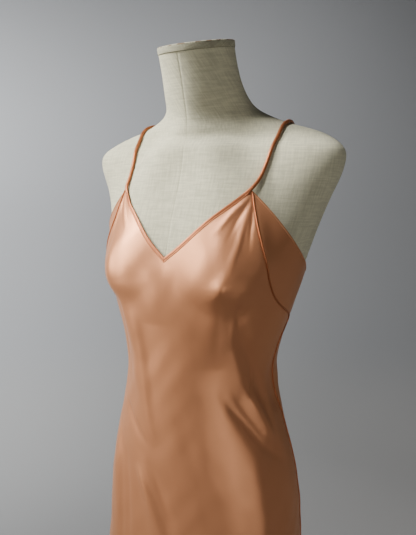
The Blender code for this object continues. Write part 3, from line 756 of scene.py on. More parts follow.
def swept(line, side, across_by, out_by):
    """Points of a tube along a line of (place, way out), moved across and out as the profile says."""
    centre, outward = line[:, :3], unit(line[:, 3:])
    across = unit(np.cross(outward, unit(np.gradient(centre, axis=0)))) * side
    return centre[None] + across_by[..., None] * across[None] + out_by[..., None] * outward[None]


def tube_from(points):
    """A tube whose rings are the columns of a grid of points, the last row being the first again."""
    along = run_lengths(points[:1], 1)
    round_way = run_lengths(points, 0).mean(axis=1)
    unroll = np.stack(np.broadcast_arrays(along, round_way[:, None]), axis=-1)
    obj = grid_piece(points, unroll)
    close_tube(obj)
    shade(obj, degrees=60)
    return obj


# Materials.

VECTOR, NUMBER, COLOUR = "NodeSocketVector", "NodeSocketFloat", "NodeSocketColor"


def new_group(name, inputs, outputs):
    """An empty shader node group with named inputs, each with its default, and named outputs."""
    group = bpy.data.node_groups.new(name, "ShaderNodeTree")
    for label, kind, default in inputs:
        socket = group.interface.new_socket(name=label, in_out="INPUT", socket_type=kind)
        if default is not None:
            socket.default_value = default
    for label, kind in outputs:
        group.interface.new_socket(name=label, in_out="OUTPUT", socket_type=kind)
    return group


class NodeWriter:
    """Writes nodes into a tree, each to the right of the last. An input is a value or a node's output."""

    def __init__(self, tree):
        self.tree = tree
        self.count = 0

    def put(self, socket, value):
        if isinstance(value, bpy.types.NodeSocket):
            self.tree.links.new(value, socket)
        else:
            socket.default_value = value

    def add(self, kind, inputs=None, **values):
        node = self.tree.nodes.new(kind)
        node.location = (180 * self.count, 0)
        self.count += 1
        for key, value in values.items():
            setattr(node, key, value)
        for key, value in (inputs or {}).items():
            self.put(node.inputs[key], value)
        return node

    def math(self, operation, first, second=0.0):
        return self.add("ShaderNodeMath", {0: first, 1: second}, operation=operation).outputs[0]

    def times(self, first, second):
        return self.math("MULTIPLY", first, second)

    def plus(self, first, second):
        return self.math("ADD", first, second)

    def minus(self, first, second):
        return self.math("SUBTRACT", first, second)

    def vector(self, operation, first, second):
        key = "Scale" if operation == "SCALE" else 1
        return self.add("ShaderNodeVectorMath", {0: first, key: second}, operation=operation).outputs[0]

    def split(self, vector):
        return self.add("ShaderNodeSeparateXYZ", {0: vector}).outputs

    def turned(self, vector, angle, axis):
        inputs = {"Vector": vector, "Angle": angle}
        return self.add("ShaderNodeVectorRotate", inputs, rotation_type=axis).outputs[0]

    def from_axis(self, split):
        """How far a split place lies from the Z axis."""
        square = self.plus(self.times(split[0], split[0]), self.times(split[1], split[1]))
        return self.math("SQRT", square)

    def noise(self, vector, scale, detail, roughness):
        inputs = {"Vector": vector, "Scale": scale, "Detail": detail, "Roughness": roughness}
        return self.add("ShaderNodeTexNoise", inputs).outputs["Fac"]

    def remap(self, value, low, high):
        """A smooth step from 0 at the low value to 1 at the high one."""
        inputs = {"Value": value, "From Min": low, "From Max": high}
        return self.add("ShaderNodeMapRange", inputs, interpolation_type="SMOOTHSTEP").outputs["Result"]

    def mix(self, share, first, second):
        inputs = {"Factor": share, 6: first, 7: second}
        return self.add("ShaderNodeMix", inputs, data_type="RGBA").outputs[2]

    def effect(self, name, inputs):
        """One of the effects that more than one material uses. Its node group is made only once."""
        tree = bpy.data.node_groups.get(name) or EFFECTS[name]()
        return self.add("ShaderNodeGroup", inputs, node_tree=tree).outputs

    def mottled(self, place, colour, scale, amount):
        inputs = {"Vector": place, "Colour": (*colour, 1), "Scale": scale, "Amount": amount}
        return self.effect("Mottle", inputs)["Colour"]


def weave_group():
    """Threads that cross at right angles: their height, and a painted shade for the gaps between them."""
    inputs = [
        ("Vector", VECTOR, None), ("Threads", NUMBER, 1200.0), ("Turn", NUMBER, 0.0),
        ("Float", NUMBER, 0.0), ("Wander", NUMBER, 0.0003),
    ]
    group = new_group("Weave", inputs, [("Height", NUMBER), ("Gap shade", NUMBER)])
    write = NodeWriter(group)
    given = write.add("NodeGroupInput").outputs
    wander = write.add("ShaderNodeTexNoise", {"Vector": given["Vector"], "Scale": 90.0, "Detail": 1.0})
    drift = write.vector("SUBTRACT", wander.outputs["Color"], (0.5, 0.5, 0.5))
    drift = write.vector("SCALE", drift, given["Wander"])
    place = write.vector("ADD", given["Vector"], drift)
    split = write.split(write.turned(place, given["Turn"], "Z_AXIS"))
    pace = write.times(given["Threads"], math.pi)
    warp, weft = (write.math("SINE", write.times(split[i], pace)) for i in (0, 1))
    warp, weft = (write.times(wave, wave) for wave in (warp, weft))
    weft = write.times(weft, write.minus(1.0, given["Float"]))
    height = write.math("MAXIMUM", warp, weft)
    # The gap output is painted shade: the lower the threads lie, the darker it paints.
    write.add("NodeGroupOutput", {"Height": height, "Gap shade": write.minus(1.0, height)})
    return group


def slub_group():
    """Thick places in the threads, drawn out along both directions of the cloth."""
    inputs = [("Vector", VECTOR, None), ("Thickness", NUMBER, 700.0), ("Length", NUMBER, 35.0)]
    group = new_group("Slubs", inputs, [("Slubs", NUMBER)])
    write = NodeWriter(group)
    given = write.add("NodeGroupInput").outputs
    split = write.split(given["Vector"])
    found = []
    for fine, long, offset in ((0, 1, 0.0), (1, 0, 7.3)):
        across = write.times(split[fine], given["Thickness"])
        along = write.times(split[long], given["Length"])
        stretched = write.add("ShaderNodeCombineXYZ", {0: across, 1: along, 2: offset}).outputs[0]
        found.append(write.noise(stretched, scale=1.0, detail=2.0, roughness=0.6))
    write.add("NodeGroupOutput", {"Slubs": write.times(write.plus(*found), 0.5)})
    return group


def mottle_group():
    """A colour that is slightly lighter and darker from place to place."""
    inputs = [
        ("Vector", VECTOR, None), ("Colour", COLOUR, (0.5, 0.5, 0.5, 1)),
        ("Scale", NUMBER, 10.0), ("Amount", NUMBER, 0.1),
    ]
    group = new_group("Mottle", inputs, [("Colour", COLOUR)])
    write = NodeWriter(group)
    given = write.add("NodeGroupInput").outputs
    cloud = write.noise(given["Vector"], scale=given["Scale"], detail=3.0, roughness=0.55)
    spread = write.times(write.minus(cloud, 0.5), given["Amount"])
    factor = write.plus(1.0, write.times(spread, 2.0))
    write.add("NodeGroupOutput", {"Colour": write.vector("SCALE", given["Colour"], factor)})
    return group


EFFECTS = {"Weave": weave_group, "Slubs": slub_group, "Mottle": mottle_group}


def new_material(name, base, roughness, **sockets):
    """A material with its shader's even values set, and a writer for the rest of its nodes."""
    material = bpy.data.materials.get(name) or bpy.data.materials.new(name)
    material.use_nodes = True
    material.diffuse_color = (*base, 1)
    shader = material.node_tree.nodes["Principled BSDF"]
    shader.inputs["Base Color"].default_value = (*base, 1)
    shader.inputs["Roughness"].default_value = roughness
    for key, value in sockets.items():
        shader.inputs[key.replace("_", " ")].default_value = value
    return material, NodeWriter(material.node_tree)


def finished(material, write, base, relief, strength, distance, roughness=None):
    """The material with its colour, its fine relief and, where it isn't even, its roughness linked."""
    shader = material.node_tree.nodes["Principled BSDF"]
    write.put(shader.inputs["Base Color"], base)
    if roughness is not None:
        write.put(shader.inputs["Roughness"], roughness)
    bump = write.add("ShaderNodeBump", {"Strength": strength, "Distance": distance, "Height": relief})
    write.put(shader.inputs["Normal"], bump.outputs[0])
    return material


def satin_material(name, colour, threads, turn, roughness):
    """Satin: long floats that shine, a weave too fine to see from afar, and a slightly uneven tone."""
    material, write = new_material(
        name, colour, roughness, Metallic=0.45, Specular_IOR_Level=0.40, Specular_Tint=(1.0, 0.74, 0.50, 1),
        Anisotropic=0.6, Anisotropic_Rotation=0.25,
    )
    places = write.add("ShaderNodeTexCoord").outputs
    fine = {"Vector": places["UV"], "Threads": threads, "Turn": turn, "Float": 0.75, "Wander": 0.0004}
    weave = write.effect("Weave", fine)
    slubs = write.effect("Slubs", {"Vector": places["UV"], "Thickness": 900.0, "Length": 60.0})["Slubs"]
    tone = write.mottled(places["Object"], colour, scale=9.0, amount=0.05)
    # Painted shade: the gaps between the threads are painted a little darker.
    base = write.mix(write.times(weave["Gap shade"], 0.35), tone, write.vector("SCALE", tone, 0.80))
    uneven = write.plus(write.times(write.minus(slubs, 0.5), 0.10), roughness)
    relief = write.plus(weave["Height"], write.times(slubs, 1.2))
    return finished(material, write, base, relief, strength=0.18, distance=0.00012, roughness=uneven)


def linen_material(name, colour, worn=False):
    """Coarse matt linen, with slubs along both ways of its weave."""
    material, write = new_material(
        name, colour, roughness=0.88, Specular_IOR_Level=0.25, Sheen_Weight=0.10, Sheen_Roughness=0.6
    )
    places = write.add("ShaderNodeTexCoord").outputs
    coarse = {"Vector": places["UV"], "Threads": 820.0, "Turn": 0.0, "Float": 0.0, "Wander": 0.0011}
    weave = write.effect("Weave", coarse)
    slubs = write.effect("Slubs", {"Vector": places["UV"], "Thickness": 430.0, "Length": 38.0})["Slubs"]
    tone = write.mottled(places["Object"], colour, scale=14.0, amount=0.05)
    streaked = write.mix(write.remap(slubs, low=0.35, high=0.68), write.vector("SCALE", tone, 0.74), tone)
    # Painted shade: the gaps between the threads are painted darker.
    base = write.mix(write.times(weave["Gap shade"], 0.55), streaked, write.vector("SCALE", streaked, 0.62))
    if worn:
        base = worn_edge(write, places["Object"], base)
    relief = write.plus(weave["Height"], write.times(slubs, 2.2))
    return finished(material, write, base, relief, strength=0.55, distance=0.00030)


def worn_edge(write, place, base):
    """Small brown rubbed spots along the upper edge of the neck's cap."""
    centre, lean = cap_place()
    split = write.split(write.turned(write.vector("SUBTRACT", place, tuple(centre)), -lean, "X_AXIS"))
    rim = write.remap(write.from_axis(split), *[CAP_RADIUS - inside for inside in WORN_RIM])
    upper = write.remap(split[2], *WORN_HEIGHTS)
    spots = write.remap(write.noise(place, scale=120.0, detail=3.0, roughness=0.6), low=0.50, high=0.57)
    worn = write.times(write.times(rim, upper), spots)
    return write.mix(worn, base, (0.13, 0.075, 0.035, 1))


def thread_material(colour):
    """Twisted sewing thread."""
    material, write = new_material("Sewing thread", colour, roughness=0.55, Sheen_Weight=0.2)
    inputs = {"Vector": write.add("ShaderNodeTexCoord").outputs["Object"], "Scale": 900.0}
    ply = write.add("ShaderNodeTexWave", inputs, bands_direction="DIAGONAL").outputs["Fac"]
    base = write.mix(write.times(ply, 0.4), (*colour, 1), (*[0.6 * part for part in colour], 1))
    return finished(material, write, base, ply, strength=0.4, distance=0.00004)


def steel_material(colour):
    """Steel tube, ground along its length."""
    material, write = new_material("Ground steel", colour, roughness=0.32, Metallic=1.0)
    place = write.add("ShaderNodeTexCoord").outputs["Object"]
    drawn_out = write.vector("MULTIPLY", place, (900, 900, 14))
    grain = write.noise(drawn_out, scale=1.0, detail=3.0, roughness=0.6)
    tone = write.mottled(place, colour, scale=22.0, amount=0.10)
    base = write.mix(write.remap(grain, low=0.35, high=0.7), write.vector("SCALE", tone, 0.72), tone)
    uneven = write.plus(write.times(grain, 0.22), 0.20)
    return finished(material, write, base, grain, strength=0.15, distance=0.00008, roughness=uneven)


def paint_material(colour):
    """Powder paint on the base plate, rubbed thin round its rim."""
    material, write = new_material("Powder paint", colour, roughness=0.48, Specular_IOR_Level=0.5)
    place = write.add("ShaderNodeTexCoord").outputs["Object"]
    tone = write.mottled(place, colour, scale=18.0, amount=0.12)
    rim = write.remap(write.from_axis(write.split(place)), *RUBBED_RIM)
    scuffs = write.remap(write.noise(place, scale=60.0, detail=5.0, roughness=0.7), low=0.52, high=0.66)
    base = write.mix(write.times(write.times(rim, scuffs), 0.7), tone, (0.30, 0.29, 0.28, 1))
    pebbles = write.noise(place, scale=1400.0, detail=2.0, roughness=0.5)
    dust = write.remap(write.noise(place, scale=35.0, detail=3.0, roughness=0.6), low=0.3, high=0.75)
    uneven = write.plus(write.times(dust, 0.16), 0.40)
    return finished(material, write, base, pebbles, strength=0.25, distance=0.00010, roughness=uneven)


def wall_material(floor, wall):
    """Matt paper that is pale on the floor and a shade darker up the wall."""
    material, write = new_material("Studio paper", floor, roughness=0.95, Specular_IOR_Level=0.1)
    place = write.add("ShaderNodeTexCoord").outputs["Object"]
    upper = write.remap(write.split(place)[2], low=0.02, high=0.40)
    tooth = write.noise(place, scale=260.0, detail=2.0, roughness=0.5)
    base = write.mix(upper, (*floor, 1), (*wall, 1))
    return finished(material, write, base, tooth, strength=0.05, distance=0.0003)


# The dress.

# The turned edges of the panels: how far they stand out, and how they roll under at the very edge.
HEM_LIFT = 0.00045
HEM_ROLL = 0.0004
EDGE_DEPTH = 0.0030
EDGE_LIFT = 0.00055
EDGE_ROLL = 0.0005
EDGE_SEWN = 0.0032  # the stitches pull the cloth in here
EDGE_DENT = 0.00025
LIFT_STEP = 0.0006
ROLL_STEP = 0.0005
SEAM_DIP = 0.0007
SEAM_DIP_WIDTH = 0.0016

# The strip of the neckline: the points that lay out each part of it, and where it changes, in metres.
BINDING_POINTS = 40
BINDING_STOP = 5  # degrees that the line leaves out before the strap's foot
STRAP_FRONT_POINTS = 24
STRAP_BACK_POINTS = 36
STRAP_LEAD = 0.004  # how far before the binding's end it starts to turn into the strap
STRAP_CHANGE = 0.018
TAIL_DROPS = (0.005, 0.010)  # the strap's end, sewn in behind the back edge
TAIL_GAP = 0.0005
TUCK_LEAD = 0.018  # how far before its end the strap starts to flatten
TUCK_CHANGE = 0.010
TUCK_SPREAD = 0.0012
TUCK_FLATTENING = 0.70
BINDING_ROUNDNESS = 0.62
GROOVE_DEPTH = 0.00055
GROOVE_WIDTH = 0.00055
GROOVE_PLACE = 0.22  # as a share of the width
MITRE_LENGTH = 0.02  # from the point of the V
MITRE_CHANGE = 0.03

# The pipings and the stitches.
PIPING_POINTS = 160
PIPING_JOIN = -0.215  # where the points along the bodice end
PIPING_JOIN_GAP = 0.003
PIPING_TOP_DROP = 0.0005
PIPING_OUT = 0.15  # as a share of its radius
NECKLINE_SEWN = 0.72  # as a share of the binding's width
HEM_SEWN = 0.92  # as a share of the hem's depth
BACK_EDGE_SEWN = 0.0031
SEWING_START = 1.2  # degrees from the point of the V
SEWING_STOP = 3  # degrees before the binding's end
BACK_SEWING_START = 1.5  # degrees behind the strap's foot
BINDING_SINK = 0.00045  # how far the stitches sink into the binding
BACK_THREAD_OUT = 0.00008
HEM_THREAD_OUT = 0.00035
NECKLINE_SAMPLES, BACK_SAMPLES, HEM_SAMPLES = 500, 1600, 4000
THREAD_RADIUS = 0.00013
STITCH_END = 0.00006  # how far inside the thread's rim a stitch's end lies
STITCH_TAPER = 0.82
STITCH_HALF = 0.36  # half a stitch's visible part, as a share of its length


def row_depths(top_heights):
    """How far below its own top edge each row of a panel lies, for each column."""
    length = DRESS_LENGTH + top_heights
    turned = np.array(TURNED_EDGE)
    foot = bpy.context.scene.slip_dress.hem * np.array(HEM_ROWS)
    start = turned[-1] + ROW_GAP
    bodice = BODICE_FOOT / -DRESS_LENGTH
    shares = np.concatenate(
        [np.linspace(0, bodice, BODICE_ROWS, endpoint=False), np.linspace(bodice, 1, SKIRT_ROWS)]
    )
    middle = start + shares[:, None] * (length[None] - start - foot[0] - HEM_ROW_GAP)
    upper = np.broadcast_to(turned[:, None], (len(turned), len(length)))
    lower = length[None] - foot[:, None]
    return np.concatenate([upper, middle, lower])


def edge_lift(depth, length, turned_top):
    """How far the turned edge at the top and the turned hem stand out, and how they roll under."""
    from_hem = length - depth
    above_fold = (bpy.context.scene.slip_dress.hem - from_hem) / LIFT_STEP
    lift = HEM_LIFT * smooth_step(above_fold) - HEM_ROLL * np.exp(-from_hem / LIFT_STEP)
    if turned_top:
        lift = lift + EDGE_LIFT * smooth_step((EDGE_DEPTH - depth) / LIFT_STEP)
        lift = lift - EDGE_ROLL * np.exp(-depth / ROLL_STEP)
        lift = lift - EDGE_DENT * np.exp(-(((depth - EDGE_SEWN) / ROLL_STEP) ** 2))
    return lift


def puckers(along, away, rise, step, place, width):
    """Small waves along a seam, at their highest a little beside it."""
    return rise * np.sin(along / step) * np.exp(-(((away - place) / width) ** 2))


def seam_lift(angle, height):
    """How the cloth turns down into the side seam, and puckers a little beside it."""
    away = np.radians(np.abs(seam_angle(height) - np.abs(wrapped(angle)))) * cloth_row(height)[..., 0]
    away = away / np.sqrt(1 + seam_slope(height) ** 2)
    waves = puckers(height, away, rise=0.00012, step=0.0021, place=0.004, width=0.003)
    return -SEAM_DIP * np.exp(-((away / SEAM_DIP_WIDTH) ** 2)) + waves


def crowded(columns):
    """Places across a panel from -1 to 1, closer together at its side seams."""
    even = np.linspace(-1, 1, columns + 1)
    return even * (1 + COLUMN_CROWDING - COLUMN_CROWDING * even**2)


def front_grid():
    """Angles, heights and edge lifts of the front panel, from the right side seam to the left one."""
    across = crowded(FRONT_COLUMNS)
    top = np.full(FRONT_COLUMNS + 1, back_edge_height(SEAM_ANGLE_AT_STRAP))
    for _ in range(SETTLE_ROUNDS):
        angle = across * seam_angle(top)
        top = neckline_height(angle) - binding_depth(angle, PANEL_TUCK)
    depth = row_depths(top)
    height = top - depth
    angle = across * (seam_angle(height) - seam_margin(height))
    return angle, height, edge_lift(depth, DRESS_LENGTH + top, False)


def back_grid():
    """The same for the back panel, from the left side seam round to the right one."""
    across = crowded(BACK_COLUMNS)
    top = np.full(BACK_COLUMNS + 1, back_edge_height(SEAM_ANGLE_AT_STRAP))
    for _ in range(SETTLE_ROUNDS):
        top = back_edge_height(180 + across * (180 - seam_angle(top)))
    depth = row_depths(top)
    height = top - depth
    angle = 180 + across * (180 - seam_angle(height) - seam_margin(height))
    return angle, height, edge_lift(depth, DRESS_LENGTH + top, True)


def panel_piece(name, node, grid):
    """One panel of the dress: a shell of satin on the outside of its CAD wall."""
    angle, height, lift = grid()
    thickness = bpy.context.scene.slip_dress.cloth
    points = cloth_point(angle, height, CLOTH_REACH - thickness + lift + seam_lift(angle, height))
    across = run_lengths(points, 1)
    across = across - across[:, [across.shape[1] // 2]]
    unroll = np.stack([across, -run_lengths(points, 0)], axis=-1)
    obj = grid_piece(points, unroll)
    apply_modifier(obj, "SOLIDIFY", thickness=thickness, offset=1, use_even_offset=False)
    shade(obj, degrees=50)
    return name_piece(obj, name, "satin", node)


class SLIP_OT_panels(bpy.types.Operator):
    """Makes the front and back panels of the dress."""

    bl_idname = "slip.panels"
    bl_label = "Front and back panels"

    def execute(self, context):
        dress = context.scene.slip_dress
        satin = satin_material("Satin", dress.satin, threads=2600.0, turn=math.radians(45), roughness=0.36)
        panels = (("satin_front", "front_panel", front_grid), ("satin_back", "back_panel", back_grid))
        for name, node, grid in panels:
            obj = panel_piece(name, node, grid)
            obj.data.materials.append(satin)
        return {"FINISHED"}


def strip_satin(dress):
    """The satin of the strips, cut on another slant."""
    return satin_material("Satin strips", dress.trim, threads=2400.0, turn=0.6, roughness=0.42)


def trim_profile(width, thickness, roundness, groove):
    """The points round a binding or strap: metres across and out, for each place along it."""
    turn = np.linspace(0, 2 * math.pi, TRIM_SIDES + 1)[:, None]
    cos, sin = np.cos(turn), np.sin(turn)
    across = np.sign(cos) * np.abs(cos) ** roundness * width / 2
    out = thickness / 2 * (1 + np.sign(sin) * np.abs(sin) ** roundness)
    line = np.exp(-(((across + GROOVE_PLACE * width) / GROOVE_WIDTH) ** 2)) * (sin > 0)
    return across, out - groove * line


def smooth_line(points, steps):
    """Even points along a smooth line through the given ones."""
    runs = run_lengths(points[:, :3], 0)
    return natural_spline(runs, points)(np.linspace(0, runs[-1], steps))


def neckline_trim(side):
    """The folded binding along one side of the V, which narrows into the strap over the shoulder."""
    first = math.degrees(SEAM_GAP / 2 / NECKLINE_RADIUS)
    along = np.linspace(first, BINDING_END_ANGLE - BINDING_STOP, BINDING_POINTS)
    heights = neckline_height(along) - binding_depth(along, BINDING_WIDTH / 2)
    centres = cloth_point(side * along, heights)
    normals = surface_normal(cloth_point, side * along, heights)
    fronts = strap_run(side, True, STRAP_FRONT_POINTS)
    backs = strap_run(side, False, STRAP_BACK_POINTS)
    angles, levels = (np.concatenate([front[2:], back[-2::-1]]) for front, back in zip(fronts, backs))
    over_normals = surface_normal(form_surface, angles, levels)
    over = form_surface(angles, levels) + STRAP_GAP * over_normals
    tail_heights = STRAP_BACK_HEIGHT - np.array(TAIL_DROPS)
    tail_angles = np.full(len(TAIL_DROPS), angles[-1])
    tail_normals = surface_normal(form_surface, tail_angles, tail_heights)
    tail = form_surface(tail_angles, tail_heights) + TAIL_GAP * tail_normals
    knots = np.concatenate([centres, over, tail])
    outs = np.concatenate([normals, over_normals, tail_normals])
    line = smooth_line(np.column_stack([knots, outs]), TRIM_STEPS)
    run = run_lengths(line[:, :3], 0)
    binding_end = run_lengths(centres, 0)[-1]
    strap = smooth_step((run - binding_end + STRAP_LEAD) / STRAP_CHANGE)
    tuck = smooth_step((run - run[-1] + TUCK_LEAD) / TUCK_CHANGE)
    width = BINDING_WIDTH * (1 - strap) + 2 * STRAP_RADIUS * strap + TUCK_SPREAD * tuck
    thickness = BINDING_THICKNESS * (1 - strap) + 2 * STRAP_RADIUS * strap * (1 - TUCK_FLATTENING * tuck)
    roundness = BINDING_ROUNDNESS + (1 - BINDING_ROUNDNESS) * strap
    across_by, out_by = trim_profile(width, thickness, roundness, GROOVE_DEPTH * (1 - strap))
    points = swept(line, side, across_by, out_by)
    # Near the point of the V the sections stand upright, so that the two sides meet in a mitre.
    place = np.interp(run, np.linspace(0, binding_end, len(along)), along)
    share = 0.5 - across_by / width
    level = neckline_height(place) - share * binding_depth(place, BINDING_WIDTH)
    turns = np.broadcast_to(side * place, level.shape)
    upright = cloth_point(turns, level) + out_by[..., None] * surface_normal(cloth_point, turns, level)
    mitred = (1 - smooth_step((run - MITRE_LENGTH) / MITRE_CHANGE))[None, :, None]
    return upright * mitred + points * (1 - mitred)


class SLIP_OT_neckline(bpy.types.Operator):
    """Makes the neckline's bindings and the straps that run on from them."""

    bl_idname = "slip.neckline"
    bl_label = "Neckline bindings and straps"

    def execute(self, context):
        satin = strip_satin(context.scene.slip_dress)
        for name, side in (("left", 1), ("right", -1)):
            obj = tube_from(neckline_trim(side)[::side])
            obj.data.materials.append(satin)
            nodes = f"neckline_binding_{name}", f"strap_{name}"
            name_piece(obj, f"neckline_and_strap_{name}", "satin_trim", *nodes)
        return {"FINISHED"}


class SLIP_OT_pipings(bpy.types.Operator):
    """Makes the corded piping in each side seam."""

    bl_idname = "slip.pipings"
    bl_label = "Side seam pipings"

    def execute(self, context):
        dress = context.scene.slip_dress
        satin = strip_satin(dress)
        top = float(back_edge_height(SEAM_ANGLE_AT_STRAP)) - PIPING_TOP_DROP
        upper = np.linspace(top, PIPING_JOIN, PIPING_POINTS)
        lower = np.linspace(PIPING_JOIN - PIPING_JOIN_GAP, -DRESS_LENGTH, PIPING_POINTS)
        knots = np.concatenate([upper, lower[1:]])
        turn = np.linspace(0, 2 * math.pi, PIPING_SIDES + 1)[:, None]
        for name, side in (("left", 1), ("right", -1)):
            angles = side * seam_angle(knots)
            normals = surface_normal(cloth_point, angles, knots)
            points = cloth_point(angles, knots) + (CLOTH_REACH + PIPING_OUT * dress.piping) * normals
            line = smooth_line(np.column_stack([points, normals]), PIPING_STEPS)
            tube = swept(line, side, np.cos(turn) * dress.piping, np.sin(turn) * dress.piping)
            obj = tube_from(tube[::side])
            obj.data.materials.append(satin)
            name_piece(obj, f"piping_{name}", "satin_trim", f"seam_piping_{name}")
        return {"FINISHED"}


def stitch_rows():
    """Lines of sewing, each as angles, heights and how far outside the cloth's inside it runs."""
    dress = bpy.context.scene.slip_dress
    rows = []
    for side in (1, -1):
        along = side * np.linspace(SEWING_START, BINDING_END_ANGLE - SEWING_STOP, NECKLINE_SAMPLES)
        heights = neckline_height(along) - binding_depth(along, NECKLINE_SEWN * BINDING_WIDTH)
        rows.append((along, heights, BINDING_THICKNESS - BINDING_SINK))
    back_start = SEAM_ANGLE_AT_STRAP + BACK_SEWING_START
    round_back = np.linspace(back_start, 360 - back_start, BACK_SAMPLES)
    rows.append((round_back, back_edge_height(round_back) - BACK_EDGE_SEWN, CLOTH_REACH + BACK_THREAD_OUT))
    round_hem = np.linspace(-180, 180, HEM_SAMPLES)
    above = np.full_like(round_hem, -DRESS_LENGTH + dress.hem * HEM_SEWN)
    rows.append((round_hem, above, CLOTH_REACH + HEM_THREAD_OUT))
    return rows


def stitch_template():
    """One short stitch along x, one metre long, as points and faces. Its ends are tapered."""
    deselect_all()
    turn = (0, math.pi / 2, 0)
    bpy.ops.mesh.primitive_cylinder_add(vertices=5, radius=THREAD_RADIUS, depth=1, rotation=turn)
    obj = bpy.context.active_object
    select_faces(obj, lambda centre, normal: abs(centre.z) > 0.49)
    start_editing()
    bpy.ops.mesh.inset(thickness=STITCH_END, depth=0)
    stop_editing()
    bpy.ops.object.transform_apply(location=True, rotation=True, scale=True)
    mesh = obj.data
    points = np.array([vertex.co[:] for vertex in mesh.vertices])
    outer = np.hypot(points[:, 1], points[:, 2]) > THREAD_RADIUS - STITCH_END / 2
    points[outer, 0] *= STITCH_TAPER
    faces = [tuple(face.vertices) for face in mesh.polygons]
    bpy.data.objects.remove(obj)
    return points, faces


class SLIP_OT_stitches(bpy.types.Operator):
    """Sews the bindings, the turned edge and the hem."""

    bl_idname = "slip.stitches"
    bl_label = "Stitches"

    def execute(self, context):
        dress = context.scene.slip_dress
        shape, faces = stitch_template()
        points, polygons = [], []
        for angles, heights, lift in stitch_rows():
            line = cloth_point(angles, heights, lift)
            run = run_lengths(line, 0)
            count = int(run[-1] / dress.stitch)
            for middle in (np.arange(count) + 0.5) * dress.stitch:
                ends = [middle - STITCH_HALF * dress.stitch, middle + STITCH_HALF * dress.stitch]
                first, last = (np.array([np.interp(at, run, line[:, i]) for i in range(3)]) for at in ends)
                along = last - first
                length = np.linalg.norm(along)
                along = along / length
                aside = unit(np.cross(along, unit(np.array([first[0], first[1], 0.0]))))
                out = np.cross(aside, along)
                offset = len(shape) * len(points)
                points.append((first + last) / 2 + shape * (length, 1, 1) @ np.array([along, aside, out]))
                polygons.extend(tuple(i + offset for i in face) for face in faces)
        deselect_all()
        mesh = bpy.data.meshes.new("stitches")
        mesh.from_pydata(np.concatenate(points), [], polygons)
        obj = bpy.data.objects.new("stitches", mesh)
        context.scene.collection.objects.link(obj)
        shade(obj, degrees=60)
        obj.data.materials.append(thread_material(dress.thread))
        name_piece(obj, "stitches", "satin_trim")
        return {"FINISHED"}


class SLIP_OT_declare(bpy.types.Operator):
    """Lists the trims that are sewn to the panels, and does nothing more with them."""

    bl_idname = "slip.declare"
    bl_label = "Cut of the panels"

    def execute(self, context):
        trims = ["neckline_and_strap_left", "neckline_and_strap_right"]
        trims += ["piping_left", "piping_right", "stitches"]
        return {"FINISHED"}


# The form and its stand.

CAP_RADIUS = 0.0525
CAP_THICKNESS = 0.0090
CAP_GAP = 0.0004
COLLAR_RADIUS = 0.0300
COLLAR_HEIGHT = 0.0200
COLLAR_FOOT_RADIUS = 0.0180
POLE_RADIUS = 0.0140
BASE_RADIUS = 0.1700
BASE_THICKNESS = 0.0080
BASE_EDGE = 0.0020
BOSS_FOOT_RADIUS = 0.0340
BOSS_TOP_RADIUS = 0.0210
BOSS_HEIGHT = 0.0320
NECK_START = 0.098  # above this the linen runs slantwise
NECK_SLANT = 0.55
CROWDING_AT_SEAMS = 0.76
COVER_SEAM_WIDTH = 0.0011
NEAR = 0.0001  # points and faces this close to a level lie in it
CAP_BEVEL = 0.0016
CAP_FOOT_BEVEL = 0.0007
# The cap's top, as steps inwards and up: a shallow rim round a slightly domed middle.
CAP_STEPS = ((0.0010, -0.0001), (0.0010, -0.0003), (0.012, 0.0001), (0.016, 0.0002), (0.014, 0.0001))
CAP_SHADE = 0.68  # the cap's linen is a little greyer than the torso's
WORN_RIM = (0.0026, 0.0008)  # from here inside the cap's radius to here
WORN_HEIGHTS = (0.0022, 0.0038)
RUBBED_RIM = (0.1670, 0.1695)


def cap_place():
    """The middle of the neck's cap, and how far it is tipped about X."""
    top = FORM_SECTIONS[-1]
    lean = math.radians(top.lean)
    rise = CAP_GAP + CAP_THICKNESS / 2
    y, z = top.middle - rise * math.sin(lean), APEX_HEIGHT + top.height + rise * math.cos(lean)
    return Vector((0, y, z)), lean


class SLIP_OT_torso(bpy.types.Operator):
    """Makes the torso's linen cover, with its seams down the middle of the front and of the back."""

    bl_idname = "slip.torso"
    bl_label = "Linen torso"

    def execute(self, context):
        form = context.scene.slip_form
        even = np.linspace(-1, 1, FORM_COLUMNS + 1)
        angles = 180 * (even - CROWDING_AT_SEAMS * np.sin(2 * math.pi * even) / (2 * math.pi))
        runs = form_runs[-1] * np.linspace(1, 0, FORM_ROWS + 1)
        section = form_row(runs)[:, None]
        angle = np.broadcast_to(angles, (FORM_ROWS + 1, FORM_COLUMNS + 1))
        radius = section_radius(section, angle)
        away = np.radians(np.minimum(np.abs(angle), 180 - np.abs(angle))) * radius
        waves = puckers(runs[:, None], away, rise=0.00010, step=0.0024, place=0.0035, width=0.0025)
        sunk = form.seam * np.exp(-((away / COVER_SEAM_WIDTH) ** 2)) + waves
        points = section_point(section, angle, sunk)
        points[:, -1] = points[:, 0]
        across = run_lengths(points, 1)
        across = across - across[:, [FORM_COLUMNS // 2]]
        rows = np.broadcast_to(section[..., 0], angle.shape)
        across = across + NECK_SLANT * np.maximum(rows - NECK_START, 0)
        down = np.broadcast_to(runs[:, None], angle.shape)
        obj = grid_piece(points, np.stack([across, down], axis=-1))
        close_tube(obj)
        shade(obj, degrees=50)
        obj.data.materials.append(linen_material("Linen", form.linen))
        name_piece(obj, "linen_torso", "linen", "form_torso")
        return {"FINISHED"}


